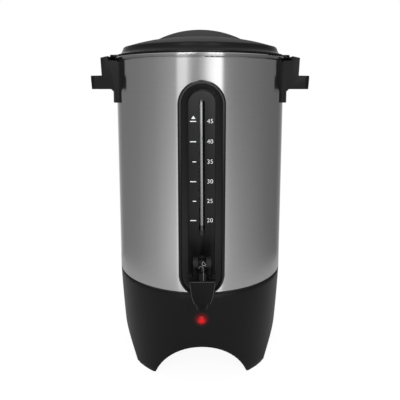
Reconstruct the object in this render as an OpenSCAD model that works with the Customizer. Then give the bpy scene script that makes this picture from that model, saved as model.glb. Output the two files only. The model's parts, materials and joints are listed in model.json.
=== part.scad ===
// Percolating coffee urn: stainless tank on a black four-footed base, with a sight gauge,
// a push-lever tap, two side handles, a lift-off lid and a removable pump and basket.
// Millimetres, +Z up. The tank axis is x = y = 0, the feet stand on z = 0, the tap faces -Y.

/* [Tank] */
// Outside radius of the tank
tank_r = 106.5; // [100:0.5:114]
// Thickness of the tank wall and floor
tank_wall = 0.8; // [0.6:0.1:1.2]
// Height of the tank, from its underside to the top of its rolled rim
tank_h = 270.9; // [262:0.1:290]
// Height of the rolled rim
rim_h = 5.5; // [4.5:0.1:6.5]
// Thickness of the rolled rim
rim_t = 2.7; // [2.2:0.1:3.2]
// How far the rolled rim stands out from the wall
rim_out = 1.2; // [0.8:0.1:1.6]
// Outside radius of the heater well in the tank floor
well_r = 26.7; // [24:0.1:28]
// Depth of the heater well below the tank's underside
well_depth = 9.6; // [8:0.2:12]
// Width of the well's welded flange
well_flange = 4.3; // [3:0.1:6]

/* [Base] */
// Height of the base skirt above the floor
base_h = 114; // [110:0.5:122]
// Radius of the base skirt at floor level
foot_r = 98.5; // [94:0.5:100]
// How far the side of the skirt bows outward from a straight taper
side_bow = 0.8; // [0:0.1:3]
// Wall thickness of the skirt and its top ledge
base_wall = 3; // [2.4:0.1:3.6]
// Height of the arches between the feet
arch_h = 46.8; // [40:0.2:47]
// Half the width of each arch at floor level
arch_half_w = 56.7; // [52:0.1:58]
// How far below the floor the centre of the arch's ellipse lies
arch_sink = 30; // [10:1:40]
// Inside radius of the ledge that carries the tank
ledge_r = 75; // [72:0.5:77]
// Height of the seam gasket between the base and the tank
seam_h = 1.6; // [1.2:0.1:2.4]
// How far the gasket is set in from the tank wall
seam_inset = 1; // [0.6:0.1:2]
// Radial width of the gasket
gasket_w = 8; // [5:0.5:9]
// Thickness of the rubber foot pads
pad_h = 2; // [1.5:0.1:3]
// How far the pads are set in from the edges of the feet
pad_inset = 1.2; // [0.8:0.1:2]
// Radius of the peg on each foot pad
pad_peg_r = 2.4; // [1.8:0.1:2.8]
// Radius on which the floor-plate posts stand
post_circle_r = 82; // [81:0.2:83]
// Radius of a floor-plate post
post_r = 4.5; // [4:0.1:5]
// Thickness of the floor plate
floor_t = 2.4; // [2:0.1:3]
// Height of the top of the floor plate
floor_top_z = 52; // [51:0.2:54]
// Radius of the floor screws' thread
floor_screw_r = 1.4; // [1.2:0.1:1.8]
// Radius on which the tank studs stand
stud_circle_r = 88; // [86.5:0.2:89]
// Radius of the tank studs
stud_r = 2; // [1.75:0.25:2.5]

/* [Cord inlet and pilot light] */
// Height of the cord gland's axis
gland_z = 72; // [68:0.5:76]
// Radius of the gland's bore
gland_bore_r = 3.7; // [3:0.1:4.2]
// Radius of the gland's neck
gland_neck_r = 6.5; // [6:0.1:7.5]
// Radius of the gland's outer flange
gland_flange_r = 9.5; // [9:0.1:10.5]
// Height of the pilot light's axis
pilot_z = 82.6; // [80:0.2:86]
// Radius of the pilot lens
pilot_r = 5.5; // [5:0.1:6]
// Radius of the pilot lens's stem
pilot_stem_r = 4.4; // [4.2:0.1:4.6]

/* [Sight gauge] */
// Half the width of the gauge surround
bezel_r = 26; // [24:0.2:27]
// How far the top of the gauge surround lies below the tank's rim
bezel_drop = 29.5; // [28:0.5:44]
// Depth of the surround in front of the tank wall
bezel_depth = 10.5; // [10.3:0.1:12]
// Half the width of the inner panel
panel_r = 14.4; // [14:0.1:16]
// Depth of the groove between the lip and the panel
groove_depth = 3; // [2:0.1:3.4]
// Width of the bevelled lip
lip_w = 3.4; // [2.6:0.1:4]
// Outside radius of the gauge glass
tube_r = 3; // [2.8:0.1:3.1]
// Wall thickness of the gauge glass
tube_wall = 0.9; // [0.6:0.1:1]
// Width of the viewing slot
slot_w = 6.4; // [6.3:0.1:6.8]
// How far the viewing slot ends below the top of the surround
slot_drop = 21; // [20:0.5:30]
// Height of the slot's lower end above the tank's underside
slot_up = 71.4; // [68:0.2:74]

/* [Tap] */
// Height of the tap's shank above the tank's underside
shank_up = 12.4; // [12:0.1:14]
// Radius of the threaded shank
shank_r = 8.5; // [8:0.1:9]
// Radius of the flow bore in the shank
flow_r = 4; // [3.5:0.1:4.4]
// Distance from the tank wall to the valve's axis
valve_reach = 23; // [22:0.1:24]
// Outside radius of the valve body
valve_r = 9.2; // [9:0.1:9.6]
// Inside radius of the valve chamber
chamber_r = 7.4; // [7:0.1:7.6]
// Radius of the outlet bore
outlet_r = 3.6; // [3:0.1:4]
// Outside radius of the outlet's tip
outlet_tip_r = 5.2; // [4.8:0.1:5.6]
// Height of the valve body, from the outlet's tip to its top
valve_h = 35.5; // [35:0.1:37]
// Radius of the valve stem
stem_r = 1.8; // [1.5:0.1:1.9]
// Radius of the lever's pin
pin_r = 1.5; // [1.2:0.1:1.8]
// Height of the lever's pin above the valve body
pin_up = 21; // [20.6:0.1:22]
// Distance from the stem to the lever's pin
lever_arm = 7.5; // [7.2:0.1:8]
// Half the width of the lever's thumb plate
paddle_half_w = 13.5; // [12:0.1:15]
// Length of the thumb plate below the lever's deck
paddle_l = 25.5; // [22:0.1:26]

/* [Handles] */
// Length of each handle
handle_l = 80; // [72:1:90]
// Height of the handle's mounting flange
handle_h = 54; // [50:0.5:55]
// Thickness of the mounting flange
flange_t = 4.5; // [4:0.1:5]
// How far the finger lip reaches from the tank wall
lip_reach = 27.5; // [23:0.1:29]
// Height of the finger lip
lip_h = 16.4; // [14:0.1:17]
// How far the handle's block reaches from the tank wall
block_reach = 14; // [12.4:0.1:15]
// Height of the strip below the finger lip
strip_h = 16.4; // [12:0.1:20]
// Wall thickness around the finger hollow
handle_wall = 3; // [2.4:0.1:4]
// Radius of the handle screws
handle_screw_r = 1.9; // [1.5:0.1:2.2]

/* [Lid] */
// Radius of the lid's outer wall at its foot
lid_r = 101; // [96:0.2:102]
// Height of the lid's outer wall
lid_wall_h = 7.8; // [7:0.1:12]
// Height of the lid's dome above its wall
dome_h = 16.2; // [13:0.1:20]
// Exponent of the dome's curve: 2 is a parabola, more is flatter in the middle
dome_curve = 2.5; // [1.8:0.1:3]
// Thickness of the lid's shell
lid_t = 2.6; // [2:0.1:3.2]
// Depth of the skirt that drops into the tank
lid_skirt_h = 11; // [8:0.5:14]
// Height of the grip above the dome
grip_h = 10.3; // [9:0.1:16]
// Radius of the grip's arch
grip_arch_r = 124; // [110:1:150]
// Thickness of the grip
grip_w = 22; // [18:0.5:28]
// Length of the finger scoops, along the grip
scoop_l = 68; // [60:1:76]
// Width of the finger scoops at the dome's surface
scoop_w = 40; // [34:0.5:44]
// Width of the lid's ears
ear_w = 26; // [20:0.5:30]

/* [Pump and basket] */
// Outside radius of the pump stem
pump_r = 4; // [3.5:0.1:4.2]
// Wall thickness of the pump stem
pump_wall = 0.8; // [0.5:0.1:1]
// Length of the pump stem
pump_l = 270; // [260:1:272]
// Height of the basket's seat on the stem
seat_up = 154; // [140:1:160]
// Radius of the coffee basket
basket_r = 70; // [60:0.5:78]
// Height of the coffee basket
basket_h = 80; // [60:1:82]
// Thickness of the pressed sheet of the basket and its cover
sheet_t = 1; // [0.8:0.1:1.4]
// Radius of the pump's bell
bell_r = 23; // [20:0.1:23.4]

/* [Hidden] */
$fn = 96;
e = 0.01;
run_gap = 0.05;
fit_gap = 0.1;
rest_gap = 0.3;
steel = "silver";
black = "#232325";

// Heights of the main pieces
tank_z = base_h + seam_h;
tank_floor_z = tank_z + tank_wall;
rim_z = tank_z + tank_h;
shank_z = tank_z + shank_up;
tank_ri = tank_r - tank_wall;
rim_ro = tank_r + rim_out;
rim_ri = rim_ro - rim_t;

// Base
ledge_z = base_h - base_wall;
arch_semi_h = arch_h + arch_sink;
arch_semi_w = arch_half_w / sqrt(1 - pow(arch_sink / arch_semi_h, 2));
arch_steps = 28;
skirt_steps = 10;
pad_edge = arch_half_w + pad_inset;
pad_peg_d = (pad_edge * sqrt(2) + foot_r - pad_inset) / 2;
sole_t = 3;
floor_r = skirt_r(floor_top_z - floor_t) - base_wall - 0.4;
floor_screw_l = 12;
floor_head_r = 3.2;
floor_head_h = 2.2;
stud_l = 12.5;
stud_nut_h = 3.2;
stud_nut_r = 4.2;
washer_t = 1;
gasket_ro = tank_r - seam_inset;

// Cord gland and pilot light
gland_face = skirt_r(gland_z) + 0.8;
gland_boss_r = gland_flange_r + 1.5;
gland_boss_l = 7.2;
gland_flange_t = 2.5;
pilot_face = skirt_r(pilot_z);
pilot_rise = 0.35;
pilot_rim_t = 0.8;
pilot_dome_h = 2.4;
pilot_stem_l = 8;
bulb_r = 3;
holder_back = 13.5;
lamp_tail = 3;

// Heating parts under the tank
well_z = tank_z - well_depth;
well_stud_r = 3;
well_stud_l = 36;
heater_r = 23;
heater_t = 5.5;
heater_coil_r = 3.6;
heater_coil_at = 19.5;
clamp_r = 14;
clamp_t = 2;
nut_h = 3.2;
nut_r = 5.8;
clamp_z = well_z - heater_t - clamp_t;
spacer_l = 16.3;
spacer_r = 5.5;
shield_z = clamp_z - nut_h - spacer_l;
shield_r = 66;
shield_t = 1;
shield_rim_h = 8;
shield_hole_d = 48;
shield_hole_r = 5;
warm_r = 50;
warm_ri = 36;
warm_t = 4;
sensor_d = 66;
thermostat_a = 110;
fuse_a = 70;
block_l = 34;
block_w = 16;
block_h = 14;
block_y = 46;
block_pitch = 11;
block_hole_z = floor_top_z + 5;
lead_r = 1.1;

// Sight gauge
face_d = tank_r + bezel_depth;
groove_d = face_d - groove_depth;
groove_r = bezel_r - lip_w;
bezel_top_z = rim_z - bezel_drop;
bezel_low_z = tank_z - 0.6 + bezel_r;
bezel_high_z = bezel_top_z - bezel_r;
panel_high_z = bezel_top_z - panel_r - 9.3;
tube_d = tank_r + 5.2;
slot_low_z = tank_z + slot_up;
slot_high_z = bezel_top_z - slot_drop;
collar_r = shank_r + 2.7;
collar_t = 7;
collar_washer_t = 1.2;
collar_d = tank_r + collar_washer_t;
socket_r = tube_r + 1.2;
socket_top_z = shank_z + 24;
tube_low_z = shank_z + 15.3;
tube_high_z = slot_high_z + 2;
cap_h = 3;
seal_h = 3;
sleeve_h = 6.5;
vent_r = 0.8;
bezel_screw_z = bezel_top_z - 7;
bezel_screw_r = 1.6;

// Tap
shank_in_d = tank_r - 16.5;
valve_d = tank_r + valve_reach;
tip_z = shank_z - 20.5;
valve_top_z = tip_z + valve_h;
seat_z = tip_z + 10;
cone_z = tip_z + 9.5;
cone_r = outlet_tip_r + 2.4;
tap_flange_r = 12.5;
tap_flange_t = 3.5;
tap_washer_t = 1;
tap_washer_r = 12;
inner_washer_r = collar_r;
inner_washer_t = 1.5;
inner_seat_d = wall_at(inner_washer_r) - run_gap;
tap_nut_t = 5.2;
tap_nut_r = 13;
seat_cup_r = 5.6;
seat_cup_h = 6.3;
bonnet_r = 11.2;
bonnet_t = 3.2;
bonnet_plug_l = 3.5;
wing_x = 15.5;
cheek_in = 4.2;
cheek_out = 9.6;
cheek_r = 6.5;
pin_d = valve_d + lever_arm;
pin_z = valve_top_z + pin_up;
hub_r = 4;
hub_half_w = 3.8;
nose_r = 1.3;
nose_up = 0.7;
prong_in = stem_r + 0.4;
head_z = pin_z + nose_up + nose_r + 0.4;
head_h = 2.6;
head_r = 3.4;
deck_z = pin_z - 14.5;
deck_t = 2.5;
paddle_t = 2.6;
paddle_d = pin_d + 11.5;
ledge_out = 1.6;
rib_half_w = 1.6;
spring_coil_r = 4.6;
spring_wire_r = 0.45;
spring_turns = 6;

// Handles
handle_out_z = rim_z - 1.5;
handle_top_z = handle_out_z + 1.9;
trough_z = rim_z - 4.9;
handle_low_z = handle_out_z - handle_h;
lip_z = handle_low_z + strip_h;
flange_r = tank_r + flange_t;
trough_x = tank_r + 5.1;
ear_pocket_x = tank_r + 8.6;
handle_corner_r = 7;
handle_screw_a = 13;
handle_screw_z = trough_z - 12;
screw_head_r = 3.6;
screw_head_h = 2.4;
screw_washer_r = 4.2;
screw_washer_t = 0.8;

// Lid
lid_z = rim_z + rest_gap;
lid_flange_r = rim_ro - 1.3;
lid_flange_t = 2.8;
lid_wall_z = lid_z + lid_flange_t;
lid_edge_z = lid_wall_z + lid_wall_h;
lid_wall_top_r = lid_r - 2.6;
lid_shoulder_r = lid_wall_top_r - 4;
dome_z = lid_edge_z + dome_h - 2;
dome_drop = dome_h - 3.6;
dome_steps = 9;
skirt_ro = rim_ri - 1.5;
skirt_t = 2.2;
grip_z = dome_z + grip_h;
scoop_tool_r = 27;
scoop_half_x = (scoop_l - scoop_w) / 2;
scoop_y = grip_w / 2 + scoop_w / 2 - 1;
scoop_z = dome_at(scoop_y) + sqrt(pow(scoop_tool_r, 2) - pow(scoop_w / 2, 2));
ear_hook_x = tank_r + 7.2;
ear_top_z = lid_wall_z + 0.9;
ear_low_z = trough_z + 0.6;

// Pump and basket
pump_z = well_z + tank_wall + rest_gap;
stem_foot_r = 6.5;
pump_foot_h = 1;
bell_top_z = pump_z + 12;
bell_collar_z = bell_top_z + 5;
seat_collar_z = pump_z + seat_up;
seat_collar_h = 3;
basket_z = seat_collar_z + seat_collar_h + rest_gap;
basket_tube_r = pump_r + 0.6;
cover_z = basket_z + basket_h + rest_gap;
cover_r = basket_r + 2.2;
valve_disc_r = 8;
valve_disc_t = 0.8;
valve_gap = 0.3;

// Outside radius of the base skirt at height z: a straight taper with a slight outward bow
function skirt_r(z) =
    let (s = (base_h - z) / base_h)
    tank_r - (tank_r - foot_r) * s + 4 * side_bow * s * (1 - s);

// Height of the lid's dome at distance r from the axis
function dome_at(r) = dome_z - dome_drop * pow(r / lid_shoulder_r, dome_curve);

// Distance from the tank axis to its inner wall, at x to one side
function wall_at(x) = sqrt(pow(tank_ri, 2) - pow(x, 2));

// ---------- Shared shapes ----------

// A ring or, without a hole, a disc, from z0 to z1
module ring(ro, ri, z0, z1) {
    difference() {
        translate([0, 0, z0]) cylinder(r = ro, h = z1 - z0);
        if (ri > 0) translate([0, 0, z0 - 1]) cylinder(r = ri, h = z1 - z0 + 2);
    }
}

// A rod or cone that points to the front, from depth d0 to d1 in front of the axis
module front_rod(r, d0, d1, z, r_end = undef) {
    translate([0, -d0, z]) rotate([90, 0, 0])
        cylinder(r1 = r, r2 = is_undef(r_end) ? r : r_end, h = d1 - d0);
}

// A ring whose axis points to the front
module front_ring(ro, ri, d0, d1, z) {
    difference() {
        front_rod(ro, d0, d1, z);
        front_rod(ri, d0 - 1, d1 + 1, z);
    }
}

// A rod that points outward at angle a from +X, from distance d0 to d1
module radial_rod(a, r, d0, d1, z) {
    rotate([0, 0, a]) translate([d0, 0, z]) rotate([0, 90, 0]) cylinder(r = r, h = d1 - d0);
}

// A hexagon nut with its hole
module hex_nut(r, hole_r, h) {
    difference() {
        cylinder(r = r, h = h, $fn = 6);
        translate([0, 0, -1]) cylinder(r = hole_r, h = h + 2);
    }
}

// A flat sheet of the given outline in the x-z plane, from depth d0 to d1
module front_plate(points, d0, d1) {
    translate([0, -d0, 0]) rotate([90, 0, 0]) linear_extrude(d1 - d0) polygon(points);
}

// A long round-ended solid seen from the front; its points are [half width, depth]
module stadium(points, z0, z1) {
    for (z = [z0, z1]) translate([0, 0, z]) rotate([90, 0, 0]) rotate_extrude() polygon(points);
    translate([0, 0, z0]) linear_extrude(z1 - z0)
        for (side = [-1, 1]) polygon([for (p = points) [side * p[0], -p[1]]]);
}

// Copies of the children on a circle
module on_circle(count, start = 0) {
    for (i = [0 : count - 1]) rotate([0, 0, start + i * 360 / count]) children();
}

// ---------- Tank ----------

module rim_section() {
    rim_mid = rim_ro - rim_t / 2;
    for (z = [rim_z - rim_h + rim_t / 2, rim_z - rim_t / 2]) translate([rim_mid, z]) circle(r = rim_t / 2);
    translate([rim_ri, rim_z - rim_h + rim_t / 2]) square([rim_t, rim_h - rim_t]);
}

module tank() {
    color(steel) difference() {
        rotate_extrude() {
            translate([well_r + 0.2, tank_z]) square([tank_r - 1 - well_r - 0.2, tank_wall]);
            polygon([
                [tank_r - 1.5, tank_z], [tank_r - 1, tank_z], [tank_r, tank_z + 1],
                [tank_r, rim_z - rim_h / 2], [tank_ri, rim_z - rim_h / 2],
                [tank_ri, tank_floor_z + 0.8], [tank_ri - 0.8, tank_floor_z], [tank_r - 1.5, tank_floor_z]
            ]);
            rim_section();
        }
        front_rod(shank_r + fit_gap, tank_r - 10, tank_r + 2, shank_z);
        front_rod(bezel_screw_r + fit_gap, tank_r - 10, tank_r + 2, bezel_screw_z);
        for (a = [-handle_screw_a, handle_screw_a, 180 - handle_screw_a, 180 + handle_screw_a])
            radial_rod(a, handle_screw_r + fit_gap, tank_r - 5, tank_r + 2, handle_screw_z);
    }
}

module base_studs() {
    color(steel) on_circle(4) translate([stud_circle_r, 0, tank_z - stud_l]) cylinder(r = stud_r, h = stud_l);
}

module stud_nuts() {
    color(steel) on_circle(4) translate([stud_circle_r, 0, 0]) {
        ring(stud_nut_r + 1, stud_r + run_gap, ledge_z - washer_t, ledge_z);
        translate([0, 0, ledge_z - washer_t - stud_nut_h]) hex_nut(stud_nut_r, stud_r + run_gap, stud_nut_h);
    }
}

// ---------- Base ----------

// The tunnel that two opposite arches leave under the base, along Y
module arch_tunnel() {
    rotate([90, 0, 0]) linear_extrude(3 * tank_r, center = true) polygon(concat(
        [[arch_half_w + 1, -5]],
        [for (i = [0 : arch_steps])
            let (x = arch_half_w * cos(180 * i / arch_steps))
            [x, arch_semi_h * sqrt(1 - pow(x / arch_semi_w, 2)) - arch_sink]],
        [[-arch_half_w - 1, -5]]
    ));
}

module skirt_wall() {
    levels = [for (i = [0 : skirt_steps]) pad_h + (base_h - pad_h) * i / skirt_steps];
    rotate_extrude() polygon(concat(
        [for (z = levels) [skirt_r(z), z]],
        [for (i = [skirt_steps : -1 : 0]) [skirt_r(levels[i]) - base_wall, levels[i]]]
    ));
}

// The part of a quarter that a foot fills, inside radius r and clear of the arches
module foot_outline(r, edge) {
    for (a = [0 : 90 : 270]) rotate([0, 0, a]) intersection() {
        circle(r = r);
        translate([edge, edge]) square(tank_r);
    }
}

module base_skirt() {
    color(black) difference() {
        union() {
            difference() {
                union() {
                    skirt_wall();
                    translate([0, 0, pad_h]) linear_extrude(sole_t)
                        foot_outline(skirt_r(pad_h) - base_wall / 2, arch_half_w - 1);
                }
                arch_tunnel();
                rotate([0, 0, 90]) arch_tunnel();
            }
            ring(skirt_r(base_h) - base_wall / 2, ledge_r, ledge_z, base_h);
            on_circle(4, 45) translate([post_circle_r, 0, floor_top_z])
                cylinder(r = post_r, h = ledge_z - floor_top_z + 1);
            rotate([0, 0, 180]) front_rod(gland_boss_r, gland_face - gland_boss_l, gland_face, gland_z);
        }
        on_circle(4) translate([stud_circle_r, 0, ledge_z - 1])
            cylinder(r = stud_r + fit_gap, h = base_wall + 2);
        on_circle(4, 45) translate([post_circle_r, 0, floor_top_z - 1])
            cylinder(r = floor_screw_r + run_gap, h = floor_screw_l + 1);
        on_circle(4, 45) translate([pad_peg_d, 0, 0]) cylinder(r = pad_peg_r + run_gap, h = pad_h + sole_t + 1);
        rotate([0, 0, 180]) front_rod(gland_neck_r + fit_gap, gland_face - 15, gland_face + 5, gland_z);
        front_rod(pilot_stem_r + fit_gap, pilot_face - 10, pilot_face + 5, pilot_z);
    }
}

module base_gasket() {
    color("#111112") ring(gasket_ro, gasket_ro - gasket_w, base_h, tank_z);
}

module foot_pads() {
    color("#151515") {
        linear_extrude(pad_h) foot_outline(skirt_r(pad_h) - pad_inset, pad_edge);
        on_circle(4, 45) translate([pad_peg_d, 0, pad_h - e]) cylinder(r = pad_peg_r, h = sole_t + e);
    }
}

module base_floor() {
    slot_half_l = 16;
    slot_r = 1.8;
    color("#2b2b2d") difference() {
        ring(floor_r, 0, floor_top_z - floor_t, floor_top_z);
        on_circle(4, 45) translate([post_circle_r, 0, 0])
            cylinder(r = floor_screw_r + 0.4, h = floor_top_z + 1);
        for (side = [-1, 1], row = [0 : 4]) translate([side * 38, row * 9 - 18, 0]) {
            for (x = [-slot_half_l, slot_half_l]) translate([x, 0, 0])
                cylinder(r = slot_r, h = floor_top_z + 1);
            translate([-slot_half_l, -slot_r, 0]) cube([2 * slot_half_l, 2 * slot_r, floor_top_z + 1]);
        }
    }
}

module floor_screws() {
    color(steel) on_circle(4, 45) translate([post_circle_r, 0, floor_top_z - floor_t]) {
        translate([0, 0, -floor_head_h]) cylinder(r1 = floor_head_r - 0.8, r2 = floor_head_r, h = floor_head_h);
        translate([0, 0, -e]) cylinder(r = floor_screw_r, h = floor_t + floor_screw_l - 1);
    }
}

// ---------- Cord gland and pilot light ----------

module cord_gland() {
    inner_face = gland_face - gland_boss_l;
    color("#1a1a1a") rotate([0, 0, 180]) difference() {
        union() {
            front_rod(gland_neck_r, inner_face - gland_flange_t, gland_face + e, gland_z);
            front_rod(gland_flange_r, gland_face, gland_face + gland_flange_t, gland_z, gland_flange_r - 0.8);
            front_rod(gland_neck_r + 0.6, inner_face - gland_flange_t, inner_face, gland_z, gland_neck_r + 1.5);
        }
        front_rod(gland_bore_r, inner_face - 10, gland_face + 10, gland_z);
    }
}

module pilot_lens() {
    rim_d = pilot_face + pilot_rise + pilot_rim_t;
    dome_r = (pow(pilot_r, 2) + pow(pilot_dome_h, 2)) / (2 * pilot_dome_h);
    dome_a = asin(pilot_r / dome_r);
    color("red") translate([0, 0, pilot_z]) rotate([90, 0, 0]) rotate_extrude() polygon(concat(
        [[0, pilot_face - 1], [bulb_r + 0.4, pilot_face - 1], [bulb_r + 0.4, pilot_face - pilot_stem_l],
         [pilot_stem_r, pilot_face - pilot_stem_l], [pilot_stem_r, pilot_face + pilot_rise],
         [pilot_r, pilot_face + pilot_rise]],
        [for (i = [0 : 6])
            let (a = dome_a * (1 - i / 6))
            [dome_r * sin(a), rim_d + pilot_dome_h - dome_r * (1 - cos(a))]]
    ));
}

module pilot_holder() {
    ring_back = pilot_face - base_wall - 3.5;
    color("#3a3a3a") difference() {
        union() {
            front_rod(pilot_stem_r + 2.8, ring_back, ring_back + 2.5, pilot_z);
            front_rod(pilot_stem_r + 1.4, pilot_face - holder_back, ring_back + e, pilot_z);
        }
        front_rod(pilot_stem_r + run_gap, pilot_face - holder_back + 1.5, pilot_face, pilot_z);
        front_rod(bulb_r + run_gap, pilot_face - holder_back - 1, pilot_face, pilot_z);
    }
}

module pilot_lamp() {
    color("orange") {
        front_rod(bulb_r, pilot_face - holder_back - lamp_tail, pilot_face - 4, pilot_z);
        translate([0, -pilot_face + 4, pilot_z]) sphere(r = bulb_r);
    }
}

// ---------- Heating parts ----------

module heater_well() {
    color(steel) rotate_extrude() polygon([
        [0, well_z - well_stud_l], [well_stud_r, well_z - well_stud_l], [well_stud_r, well_z],
        [well_r, well_z], [well_r, tank_floor_z], [well_r + well_flange, tank_floor_z],
        [well_r + well_flange, tank_floor_z + tank_wall], [well_r - tank_wall, tank_floor_z + tank_wall],
        [well_r - tank_wall, well_z + tank_wall], [0, well_z + tank_wall]
    ]);
}

// A flat blade terminal that points down from z, at distance d and angle a
module blade(a, d, z, l) {
    rotate([0, 0, a]) translate([d - 0.4, -3.15, z - l]) cube([0.8, 6.3, l]);
}

module pump_heater() {
    low = well_z - heater_t;
    color("#b8b4ac") difference() {
        union() {
            ring(heater_r, 0, low, well_z);
            translate([0, 0, low]) rotate_extrude() translate([heater_coil_at, 0]) circle(r = heater_coil_r);
            for (a = [75, 105]) blade(a, heater_coil_at, low - heater_coil_r + 1, 10);
        }
        translate([0, 0, low - 10]) cylinder(r = well_stud_r + 0.2, h = heater_t + 20);
        translate([0, 0, well_z]) cylinder(r = heater_r + 5, h = 10);
    }
}

module heater_clamp() {
    color(steel) ring(clamp_r, well_stud_r + 0.2, clamp_z, clamp_z + clamp_t);
}

module heater_nuts() {
    color(steel) for (z = [clamp_z - nut_h, shield_z - shield_t - nut_h]) translate([0, 0, z])
        hex_nut(nut_r, well_stud_r + run_gap, nut_h);
}

module shield_spacer() {
    color(steel) ring(spacer_r, well_stud_r + 0.2, shield_z, shield_z + spacer_l);
}

module heat_shield() {
    color("#9a9a9c") difference() {
        rotate_extrude() polygon([
            [well_stud_r + 0.2, shield_z - shield_t], [shield_r, shield_z - shield_t],
            [shield_r, shield_z + shield_rim_h], [shield_r - shield_t, shield_z + shield_rim_h],
            [shield_r - shield_t, shield_z], [well_stud_r + 0.2, shield_z]
        ]);
        for (a = [60, 90, 120]) rotate([0, 0, a]) translate([shield_hole_d, 0, shield_z - 3])
            cylinder(r = shield_hole_r, h = 6);
    }
}

module warm_heater() {
    color("#b8b4ac") difference() {
        union() {
            ring(warm_r, warm_ri, tank_z - warm_t, tank_z);
            translate([0, 0, tank_z - warm_t]) rotate_extrude()
                translate([(warm_r + warm_ri) / 2, 0]) circle(r = 3);
            for (a = [80, 100]) blade(a, (warm_r + warm_ri) / 2, tank_z - warm_t - 2, 9);
        }
        translate([0, 0, tank_z]) cylinder(r = warm_r + 5, h = 10);
    }
}

module thermostat() {
    color("#d8d2c4") rotate([0, 0, thermostat_a]) translate([sensor_d, 0, 0]) {
        translate([-5, -12, tank_z - 1.2]) cube([10, 24, 1.2]);
        ring(8, 0, tank_z - 8, tank_z - 1.2 + e);
        for (y = [-4, 4]) translate([-3.15, y - 0.4, tank_z - 16]) cube([6.3, 0.8, 8 + e]);
    }
}

module thermal_fuse() {
    color("#c9c9cc") rotate([0, 0, fuse_a]) translate([sensor_d, 0, 0]) {
        translate([-4, -7, tank_z - 4]) cube([8, 14, 4]);
        translate([0, 9, tank_z - 2.2]) rotate([90, 0, 0]) cylinder(r = 2, h = 18);
    }
}

module terminal_block() {
    color("#e6e0d0") difference() {
        translate([-block_l / 2, block_y - block_w / 2, floor_top_z]) cube([block_l, block_w, block_h]);
        for (x = [-block_pitch, 0, block_pitch]) {
            translate([x, block_y, block_hole_z]) cylinder(r = 2.6, h = block_h);
            translate([x, block_y - block_w, block_hole_z]) rotate([-90, 0, 0])
                cylinder(r = 1.6, h = 2 * block_w);
        }
    }
}

// One insulated lead along a list of points
module lead(points) {
    for (i = [0 : len(points) - 2]) hull() for (p = [points[i], points[i + 1]])
        translate(p) sphere(r = lead_r, $fn = 8);
}

module wiring() {
    block_front = block_y - block_w / 2;
    hole_x = shield_hole_d * cos(60);
    hole_y = shield_hole_d * sin(60);
    low_z = floor_top_z + 9;
    bend_x = shield_r / 2;
    bend_y = -(shield_r + pilot_face) / 2;
    lamp_end = holder_back + lamp_tail + lead_r - fit_gap - pilot_face;
    heater_end = [5, heater_coil_at + 1.6, well_z - heater_t - 11];
    sensor_end = [sensor_d * cos(thermostat_a), sensor_d * sin(thermostat_a) - 4, tank_z - 14];
    // a lead's straight start in one of the block's holes
    function from_block(x) = [[x, block_front + 2, block_hole_z], [x, block_front - 5, block_hole_z]];
    color("#8a3324") {
        lead(concat(from_block(block_pitch), [
            [hole_x, block_front - 6, shield_z - 12], [hole_x, hole_y, shield_z],
            [heater_end[0] * 2, heater_end[1] + 7, shield_z + shield_rim_h], heater_end
        ]));
        lead(concat(from_block(-block_pitch), [
            [-hole_x, block_front - 6, shield_z - 12], [-hole_x, hole_y, shield_z],
            [sensor_end[0] - 3, sensor_end[1] - 4, shield_z + shield_rim_h + 4], sensor_end
        ]));
        for (side = [-1, 1]) lead(concat(from_block(side > 0 ? 0 : -block_pitch), [
            [side * bend_x, 0, low_z], [side * bend_x, -shield_r, low_z + 3],
            [side * bend_x / 2, bend_y, (low_z + pilot_z) / 2], [side * 1.6, lamp_end, pilot_z]
        ]));
    }
}

// ---------- Sight gauge ----------

module gauge_bezel() {
    lip_top = bezel_r - lip_w * 0.62;
    color(black) difference() {
        union() {
            difference() {
                stadium([[0, tank_r - 12], [bezel_r, tank_r - 12], [bezel_r, groove_d - 1], [lip_top, face_d],
                         [0, face_d]], bezel_low_z, bezel_high_z);
                stadium([[0, groove_d], [groove_r - 0.5, groove_d], [groove_r, face_d], [groove_r, face_d + 1],
                         [0, face_d + 1]], bezel_low_z, bezel_high_z);
            }
            stadium([[0, groove_d - 1], [panel_r + 0.4, groove_d - 1], [panel_r + 0.4, groove_d],
                     [panel_r, face_d], [0, face_d]], bezel_low_z, panel_high_z);
            front_rod(tap_washer_r + 0.6, groove_d - 1, face_d, shank_z);
        }
        translate([0, 0, bezel_low_z - 2 * bezel_r])
            cylinder(r = tank_r, h = bezel_high_z - bezel_low_z + 4 * bezel_r);
        // viewing slot
        translate([0, 0, slot_low_z + slot_w / 2]) front_rod(slot_w / 2, tank_r, face_d + 1, 0);
        translate([0, 0, slot_high_z - slot_w / 2]) front_rod(slot_w / 2, tank_r, face_d + 1, 0);
        translate([-slot_w / 2, -face_d - 1, slot_low_z + slot_w / 2])
            cube([slot_w, bezel_depth + 1, slot_high_z - slot_low_z - slot_w]);
        // channel for the glass, open to the tank wall
        channel_r = tube_r + 0.25;
        channel_top = tube_high_z + cap_h + 0.3;
        translate([0, -tube_d, shank_z]) cylinder(r = channel_r, h = channel_top - shank_z);
        translate([-channel_r, -tube_d, shank_z])
            cube([2 * channel_r, tube_d - tank_r + 8, channel_top - shank_z]);
        translate([0, -tube_d, slot_low_z - 1]) cylinder(r = socket_r + 0.2, h = sleeve_h + 2);
        // room for the collar and its socket
        front_rod(collar_r + 0.4, tank_r - 8, collar_d + collar_t + 0.2, shank_z);
        translate([0, -tube_d, shank_z])
            cylinder(r = socket_r + 0.2, h = socket_top_z + seal_h + 0.3 - shank_z);
        translate([-socket_r - 0.2, -tube_d, shank_z])
            cube([2 * socket_r + 0.4, tube_d - tank_r + 8, socket_top_z + seal_h + 0.3 - shank_z]);
        front_rod(shank_r + fit_gap, tank_r - 8, face_d + 5, shank_z);
        front_rod(bezel_screw_r + run_gap, tank_r - 8, tank_r + 6, bezel_screw_z);
    }
}

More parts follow.
